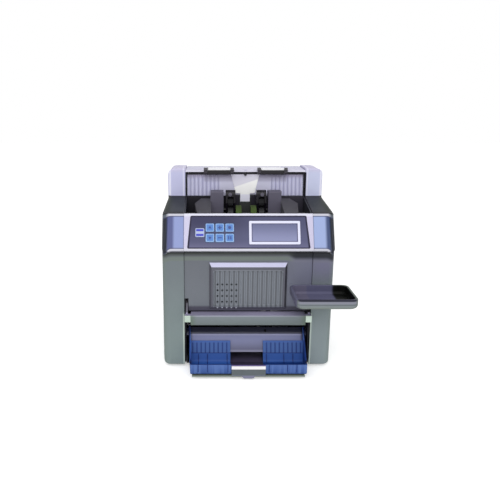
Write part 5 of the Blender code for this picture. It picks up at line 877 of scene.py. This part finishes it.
def fit(made, body):
    """Sets a finished piece on its body and prints what it rides on."""
    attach(made, body)
    print(made.name, "rides on", body, "with", len(made.data.polygons), "faces")


# %% [markdown]
# ## Key faces
# On the real panel each key is a clear cap over a printed blue square with a small mark. A picture
# on the cap could show it, but a picture blurs when one looks closely. So a pad with a softened
# edge lies on each cap, and the mark is a thin raised shape on it. The marks are plain signs: two
# arrowheads, a plus, a minus, a dot and two upright bars. The white key has two blue bars. Each
# face rides on its own key and goes down with it.


# %% Key marks and pads
def bar(width, height, up=0.0, across=0.0):
    """A rectangle about a centre."""
    return rectangle(across - width / 2, across + width / 2, up - height / 2, up + height / 2)


KEY_MARKS = [
    [disc(3.0, 3, math.pi / 2)],
    [bar(6.0, 1.6), bar(1.6, 2.1, 1.95), bar(1.6, 2.1, -1.95)],
    [disc(2.6, 16)],
    [disc(3.0, 3, -math.pi / 2)],
    [bar(6.0, 1.6)],
    [bar(1.8, 5.2, 0, -1.7), bar(1.8, 5.2, 0, 1.7)],
]
KEYS_IN_ROW = 3
FIRST_KEY_U, FIRST_KEY_V, KEY_STEP_U, KEY_STEP_V = -62.3, 39.2, 15.9, 16.8
WHITE_KEY_U, WHITE_KEY_V = -78.5, 31.0
PAD_SIZE, PAD_CORNER = 10.6, 1.2
KEY_TOP = 0.8


def key_place(u, v):
    """Sets flat points and heights on the top of a key."""
    return lambda a, b, height: on_panel(u + a, v + b, KEY_TOP + height)


finish("printed key blue", plain(60, 119, 196), rough=0.35, shine=0.45, grain=0.05, tone=0.05)
finish("printed key mark", plain(34, 58, 132), rough=0.35, grain=0.05)
for number, marks in enumerate(KEY_MARKS):
    row, column = divmod(number, KEYS_IN_ROW)
    place = key_place(FIRST_KEY_U + KEY_STEP_U * column, FIRST_KEY_V - KEY_STEP_V * row)
    bm = bmesh.new()
    add_solid(bm, rounded_square(PAD_SIZE, PAD_CORNER), place, -0.05, 0.12, 0.06)
    for mark in marks:
        add_solid(bm, mark, place, 0.1, 0.24, 0.04, slot=1)
    printed = FINISHES["printed key blue"], FINISHES["printed key mark"]
    face = make_object(f"key_face_{number + 1}", bm, *printed)
    fit(face, f"key_{number + 1}_body")

# %% The white key's two bars
finish("printed bar blue", plain(38, 50, 189), rough=0.35, grain=0.05)
bm = bmesh.new()
for up in (3.9, -3.9):
    add_solid(bm, bar(11.8, 3.5, up), key_place(WHITE_KEY_U, WHITE_KEY_V), -0.05, 0.15, 0.06)
fit(make_object("white_key_bars", bm, FINISHES["printed bar blue"]), "key_7_body")

# %% [markdown]
# ## White grips on the note supports
# Each folding support carries a white moulded grip along its front edge, so that a finger finds it.
# The edge could be painted white, but the real grip stands up from it and catches the light. So it
# is a low bar with a softened top. It lies over the hinge line, between the rail's dark ears, and
# turns with its support, so it stays clear of the rail.


# %% Support grips
SIDES = (("left", -1), ("right", 1))
GRIP_START, GRIP_END, GRIP_DEPTH, GRIP_HEIGHT, GRIP_SINK = 4.6, 0.4, 3.0, 3.2, 0.1
for word, side in SIDES:
    low, high = ruled(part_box(f"{word}_note_support"))
    outline = rectangle(low.x + GRIP_START, high.x - GRIP_END, low.y + GRIP_SINK, low.y + GRIP_DEPTH)
    bm = bmesh.new()
    add_solid(bm, outline, at, high.z - GRIP_SINK, high.z + GRIP_HEIGHT, 0.8)
    grip = make_object(f"{word}_support_grip", bm, FINISHES["white support grip"])
    fit(grip, f"{word}_support_body")

# %% [markdown]
# ## Caps on the roller arms
# A round cap closes the bore of each arm's pivot, in front, under the arm's head. It could be a
# lathe shape, but it has only two steps. So it is two discs from the same function, the larger one
# with a softened edge and the smaller one as a boss in its middle.


# %% Arm caps
def facing_front(x, y, z):
    """Sets flat points and heights on a face that looks to the front."""
    return lambda a, b, height: at(x + a, y - height, z + b)


CAP_X, CAP_DROP = 27.5, 6.2
finish("dark cap plastic", plain(92, 89, 104), rough=0.3, shine=0.4, grain=0.1)
for word, side in SIDES:
    low, high = ruled(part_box(f"{word}_roller_arm"))
    place = facing_front(side * CAP_X, low.y, high.z - CAP_DROP)
    bm = bmesh.new()
    add_solid(bm, disc(3.3), place, -0.1, 0.7, 0.4)
    add_solid(bm, disc(1.3, 12), place, 0.6, 1.2, 0.3)
    cap = make_object(f"{word}_arm_cap", bm, FINISHES["dark cap plastic"], smooth=30)
    fit(cap, "base")

# %% [markdown]
# ## Repeats with Geometry Nodes
# Ribs and screws repeat. Modelling one and letting Geometry Nodes copy it keeps the count and the
# pitch as numbers that can be changed. One tree sets a copy on each point of a mesh, and another
# turns copies round a shaft. Both end by making the copies real and giving them their finish, and
# then the result is kept as a plain mesh, because an exported model has no instances.


# %% Two trees and a way to run them
def new_tree(name, wanted):
    """An empty tree with a geometry input, the wanted inputs and a geometry output."""
    tree = bpy.data.node_groups.new(name, "GeometryNodeTree")
    tree.interface.new_socket("Geometry", in_out="INPUT", socket_type="NodeSocketGeometry")
    for label, kind in wanted:
        tree.interface.new_socket(label, in_out="INPUT", socket_type=f"NodeSocket{kind}")
    tree.interface.new_socket("Geometry", in_out="OUTPUT", socket_type="NodeSocketGeometry")
    plan = Plan(tree)
    given = tree.nodes.new("NodeGroupInput")
    return tree, plan, {socket.name: Wire(plan, socket) for socket in given.outputs if socket.name}


def close_tree(plan, geometry, material):
    real = plan.node("GeometryNodeRealizeInstances", None, {0: geometry})
    dressed = plan.node("GeometryNodeSetMaterial", None, {"Geometry": real, "Material": material})
    plan.node("NodeGroupOutput", None, {0: dressed})


def copies_on_points():
    """Sets a copy of a piece on every point of the mesh."""
    tree, plan, given = new_tree("copies on points", [("Piece", "Object"), ("Finish", "Material")])
    piece = plan.node("GeometryNodeObjectInfo", None, {"Object": given["Piece"]}, output="Geometry")
    inputs = {"Points": given["Geometry"], "Instance": piece}
    close_tree(plan, plan.node("GeometryNodeInstanceOnPoints", None, inputs), given["Finish"])
    return tree


def copies_round_shaft():
    """Turns copies of the mesh round the X axis, from a first angle and by equal steps."""
    wanted = [("Count", "Int"), ("First Angle", "Float"), ("Step Angle", "Float"), ("Finish", "Material")]
    tree, plan, given = new_tree("copies round a shaft", wanted)
    points = plan.node("GeometryNodeMeshLine", None, {"Count": given["Count"], "Offset": (0, 0, 0)})
    angle = plan.node("GeometryNodeInputIndex") * given["Step Angle"] + given["First Angle"]
    turn = plan.node("ShaderNodeCombineXYZ", None, {0: angle})
    inputs = {"Points": points, "Instance": given["Geometry"], "Rotation": turn}
    close_tree(plan, plan.node("GeometryNodeInstanceOnPoints", None, inputs), given["Finish"])
    return tree


def grow(made, tree, **values):
    """Runs a tree on an object and keeps the result as its plain mesh."""
    modifier = made.modifiers.new(tree.name, "NODES")
    modifier.node_group = tree
    for item in tree.interface.items_tree:
        if item.in_out == "INPUT" and item.name in values:
            modifier[item.identifier] = values[item.name]
    made.update_tag()
    ready = made.evaluated_get(bpy.context.evaluated_depsgraph_get())
    mesh = bpy.data.meshes.new_from_object(ready)
    made.modifiers.clear()
    made.data = mesh
    return made


ON_POINTS, ROUND_SHAFT = copies_on_points(), copies_round_shaft()
print(ON_POINTS.name, "and", ROUND_SHAFT.name, "are ready")


def points_object(name, places):
    """A mesh of loose points, for a tree that sets copies on them."""
    mesh = bpy.data.meshes.new(name)
    mesh.from_pydata(places, [], [])
    made = bpy.data.objects.new(name, mesh)
    link(made)
    return made


# %% [markdown]
# ## Ribs in the blue trays
# Counted notes slide down the slope and stand on ribs, so that a thumb can get under them. Each rib
# follows the tray's inside from the lip, over the floor and up the slope. A tube along a curve
# would be too round for a moulded rib, so one rib is drawn as a thin strip along that path, and a
# tree sets it at each place across both trays.


# %% Tray ribs
def strip_along(path, lift, width):
    """A thin rib: a path of (y, z) points, raised by a lift across it, with a width along X."""
    bm = bmesh.new()
    raised = []
    for i, (y, z) in enumerate(path):
        before, after = path[max(i - 1, 0)], path[min(i + 1, len(path) - 1)]
        run = Vector((after[0] - before[0], after[1] - before[1])).normalized()
        raised.append((y - run[1] * lift, z + run[0] * lift))
    section = path + raised[::-1]
    rings = []
    for x in (-width / 2, width / 2):
        rings.append([bm.verts.new(Vector((x, y, z)) / PER_METRE) for y, z in section])
    bm.faces.new(rings[0][::-1])
    bm.faces.new(rings[1])
    for i in range(len(section)):
        j = (i + 1) % len(section)
        bm.faces.new((rings[0][i], rings[0][j], rings[1][j], rings[1][i]))
    return bm


finish("deep blue rib plastic", plain(20, 42, 112), rough=0.45, shine=0.25, grain=0.05, tone=0.08)
RIB_PATH = [
    (-44.4, 12.0), (-44.4, 24.9), (-41.9, 24.9), (-41.9, 13.0), (-40.6, 9.8), (-37.6, 8.7),
    (-7.6, 8.7), (-2.6, 10.6), (-0.2, 14.4), (2.6, 23.0),
]
RIB_LIFT, RIB_WIDTH = 0.5, 1.1
RIB_PLACES = (-81.3, -66.2, -33.2, 33.2, 62.5, 77.8)
rib = make_object("tray_rib_pattern", strip_along(RIB_PATH, RIB_LIFT, RIB_WIDTH))
points = points_object("tray_ribs", [at(x, 0, 0) for x in RIB_PLACES])
ribs = grow(points, ON_POINTS, Piece=rib, Finish=FINISHES["deep blue rib plastic"])
bpy.data.objects.remove(rib)
fit(ribs, "base")

# %% [markdown]
# ## Ribbed rubber on the feed wheels
# Smooth rubber would slip on paper, so the raised part of each green wheel is ribbed across. A bump
# in the finish could suggest the ribs, but they show against the light on the wheel's outline. So
# one rib is drawn over the shaft's axis and turned round it in equal steps. The wheels turn with
# the feed shaft, and so the ribs ride on it.


# %% Feed wheel ribs
def along_shaft(a, b, height):
    """Sets flat points on a section across the shaft and heights along it."""
    return Vector((height, a, b)) / PER_METRE


WHEEL_X, WHEEL_RIBS, WHEEL_RIB_HALF = 12.8, 20, 4.6
WHEEL_RIB = [(-0.9, 16.2), (0.9, 16.2), (0.45, 17.35), (-0.45, 17.35)]
FIRST_ANGLE, STEP_ANGLE = math.radians(-26.0), math.radians(7.5)
for word, side in SIDES:
    bm = bmesh.new()
    add_solid(bm, WHEEL_RIB, along_shaft, -WHEEL_RIB_HALF, WHEEL_RIB_HALF)
    made = make_object(f"{word}_feed_wheel_ribs", bm)
    values = {"Count": WHEEL_RIBS, "First Angle": FIRST_ANGLE, "Step Angle": STEP_ANGLE}
    grow(made, ROUND_SHAFT, Finish=FINISHES["green feed rubber"], **values)
    made.data.transform(Matrix.Translation(at(side * WHEEL_X, SHAFT_Y, SHAFT_Z)))
    fit(made, "feed_rotor")

# %% [markdown]
# ## Screws
# A pan-head screw holds each corner of the rear cover. Its head is a low dome with a cross-shaped
# hollow. The hollow could be cut with a Boolean, but here a ring of points that is drawn in at the
# cross's corners and let down gives it in a few dozen faces. The head is drawn once, turned to face
# the way that the cover faces, and set on its points by the tree.


# %% Screw heads
SCREW_CORNERS = 16


def screw_head(radius, height):
    """A low dome with a cross-shaped hollow, facing +Z, in millimetres."""
    bm = bmesh.new()
    cross = [radius * (0.5 if i % 4 == 0 else 0.2) for i in range(SCREW_CORNERS)]
    dome = ((1, 0), (1, 0.45), (0.8, 0.85), (0.62, 1))
    levels = [([radius * share] * SCREW_CORNERS, up) for share, up in dome]
    rings = []
    for reaches, up in levels + [(cross, 1), (cross, 0.35)]:
        ring = []
        for i, reach in enumerate(reaches):
            angle = math.tau * i / SCREW_CORNERS
            corner = Vector((reach * math.cos(angle), reach * math.sin(angle), height * up))
            ring.append(bm.verts.new(corner / PER_METRE))
        rings.append(ring)
    for below, above in zip(rings, rings[1:]):
        for i in range(SCREW_CORNERS):
            j = (i + 1) % SCREW_CORNERS
            bm.faces.new((below[i], below[j], above[j], above[i]))
    bm.faces.new(rings[0][::-1])
    bm.faces.new(rings[-1])
    return bm


SCREW_RADIUS, SCREW_HEIGHT, SCREW_INSET = 2.6, 1.1, 5.5
low, high = ruled(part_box("rear_cover"))
screw = make_object("cover_screw_pattern", screw_head(SCREW_RADIUS, SCREW_HEIGHT), smooth=30)
screw.data.transform(Matrix.Rotation(math.radians(-90), 4, "X"))
across, heights = high.x - SCREW_INSET, (low.z + SCREW_INSET, high.z - SCREW_INSET)
places = [at(side * across, high.y, height) for side in (-1, 1) for height in heights]
points = points_object("rear_cover_screws", places)
screws = grow(points, ON_POINTS, Piece=screw, Finish=FINISHES["black oxide steel"])
bpy.data.objects.remove(screw)
fit(screws, "base")

# %% [markdown]
# ## Camera, light and floor
# The camera stands a little left of the middle and above, and looks down by fourteen degrees, as a
# person does who stands at a counter. A soft sky lights everything evenly, and one large soft lamp
# above the front gives the upper faces their brightness. The floor is white and keeps the machine's
# shadow.

# %% Camera
CAMERA_PLACE, CAMERA_TILT = (-65.7, -900.0, 427.7), 13.95
CAMERA_LENS, CAMERA_SHIFT = 41.52, 0.0844
camera = bpy.data.objects.new("camera", bpy.data.cameras.new("camera"))
link(camera)
camera.location = at(*CAMERA_PLACE)
camera.rotation_euler = (math.radians(90 - CAMERA_TILT), 0, 0)
camera.data.lens = CAMERA_LENS
camera.data.sensor_width = 36
camera.data.shift_x = CAMERA_SHIFT
camera.data.clip_start = 0.01
bpy.context.scene.camera = camera
print("camera at", [round(value, 3) for value in camera.location])

# %% Lamp and sky
LAMP_PLACE, LAMP_TARGET = Vector((-0.15, -1.7, 1.5)), Vector((0, 0, 0.15))
SKY_LIGHT = 0.67
light = bpy.data.lights.new("soft lamp above the front", "AREA")
light.shape, light.size, light.energy = "DISK", 1.6, 17.0
lamp = bpy.data.objects.new(light.name, light)
lamp.location = LAMP_PLACE
lamp.rotation_euler = (LAMP_TARGET - LAMP_PLACE).to_track_quat("-Z", "Y").to_euler()
link(lamp)
sky = bpy.data.worlds.new("soft sky")
bpy.context.scene.world = sky
sky.use_nodes = True
sky.node_tree.nodes.clear()
plan = Plan(sky.node_tree)
rays = ("Is Camera Ray", "Is Glossy Ray", "Is Transmission Ray")
camera_ray, glossy_ray, clear_ray = (plan.node("ShaderNodeLightPath", None, None, name) for name in rays)
seen = camera_ray + glossy_ray + clear_ray
clear = seen.math("MINIMUM", seen, 1.0)
strength = clear * (1 - SKY_LIGHT) + SKY_LIGHT
background = plan.node("ShaderNodeBackground", None, {"Color": WHITE, "Strength": strength})
plan.node("ShaderNodeOutputWorld", None, {0: background})
print("one lamp and a soft sky")

# %% Floor
FLOOR_HALF, FLOOR_LIFT = 6, 0.42
floor_mesh = bpy.data.meshes.new("floor")
corners = [(x, y, 0) for x, y in rectangle(-FLOOR_HALF, FLOOR_HALF, -FLOOR_HALF, FLOOR_HALF)]
floor_mesh.from_pydata(corners, [], [(0, 1, 2, 3)])
floor = bpy.data.objects.new("floor", floor_mesh)
link(floor)


def floor_colour(plan, spot):
    return plan.blend(plan.fade(spot.y, -3000.0, 3000.0), (252, 252, 252), (253, 253, 253))


paper = finish("white floor", floor_colour, rough=0.9, shine=0.0, grain=0.0, tone=0.0)
plan = Plan(paper.node_tree)
shader = paper.node_tree.nodes["Principled BSDF"]
ending = paper.node_tree.nodes["Material Output"]
seen = plan.node("ShaderNodeLightPath", None, None, "Is Camera Ray")
lift = plan.node("ShaderNodeEmission", None, {"Color": WHITE, "Strength": seen * FLOOR_LIFT})
lifted = plan.node("ShaderNodeAddShader", None, {0: Wire(plan, shader.outputs[0]), 1: lift})
paper.node_tree.links.new(lifted.socket, ending.inputs[0])
floor_mesh.materials.append(paper)
bpy.context.scene.view_settings.view_transform = "Standard"
print("floor laid")
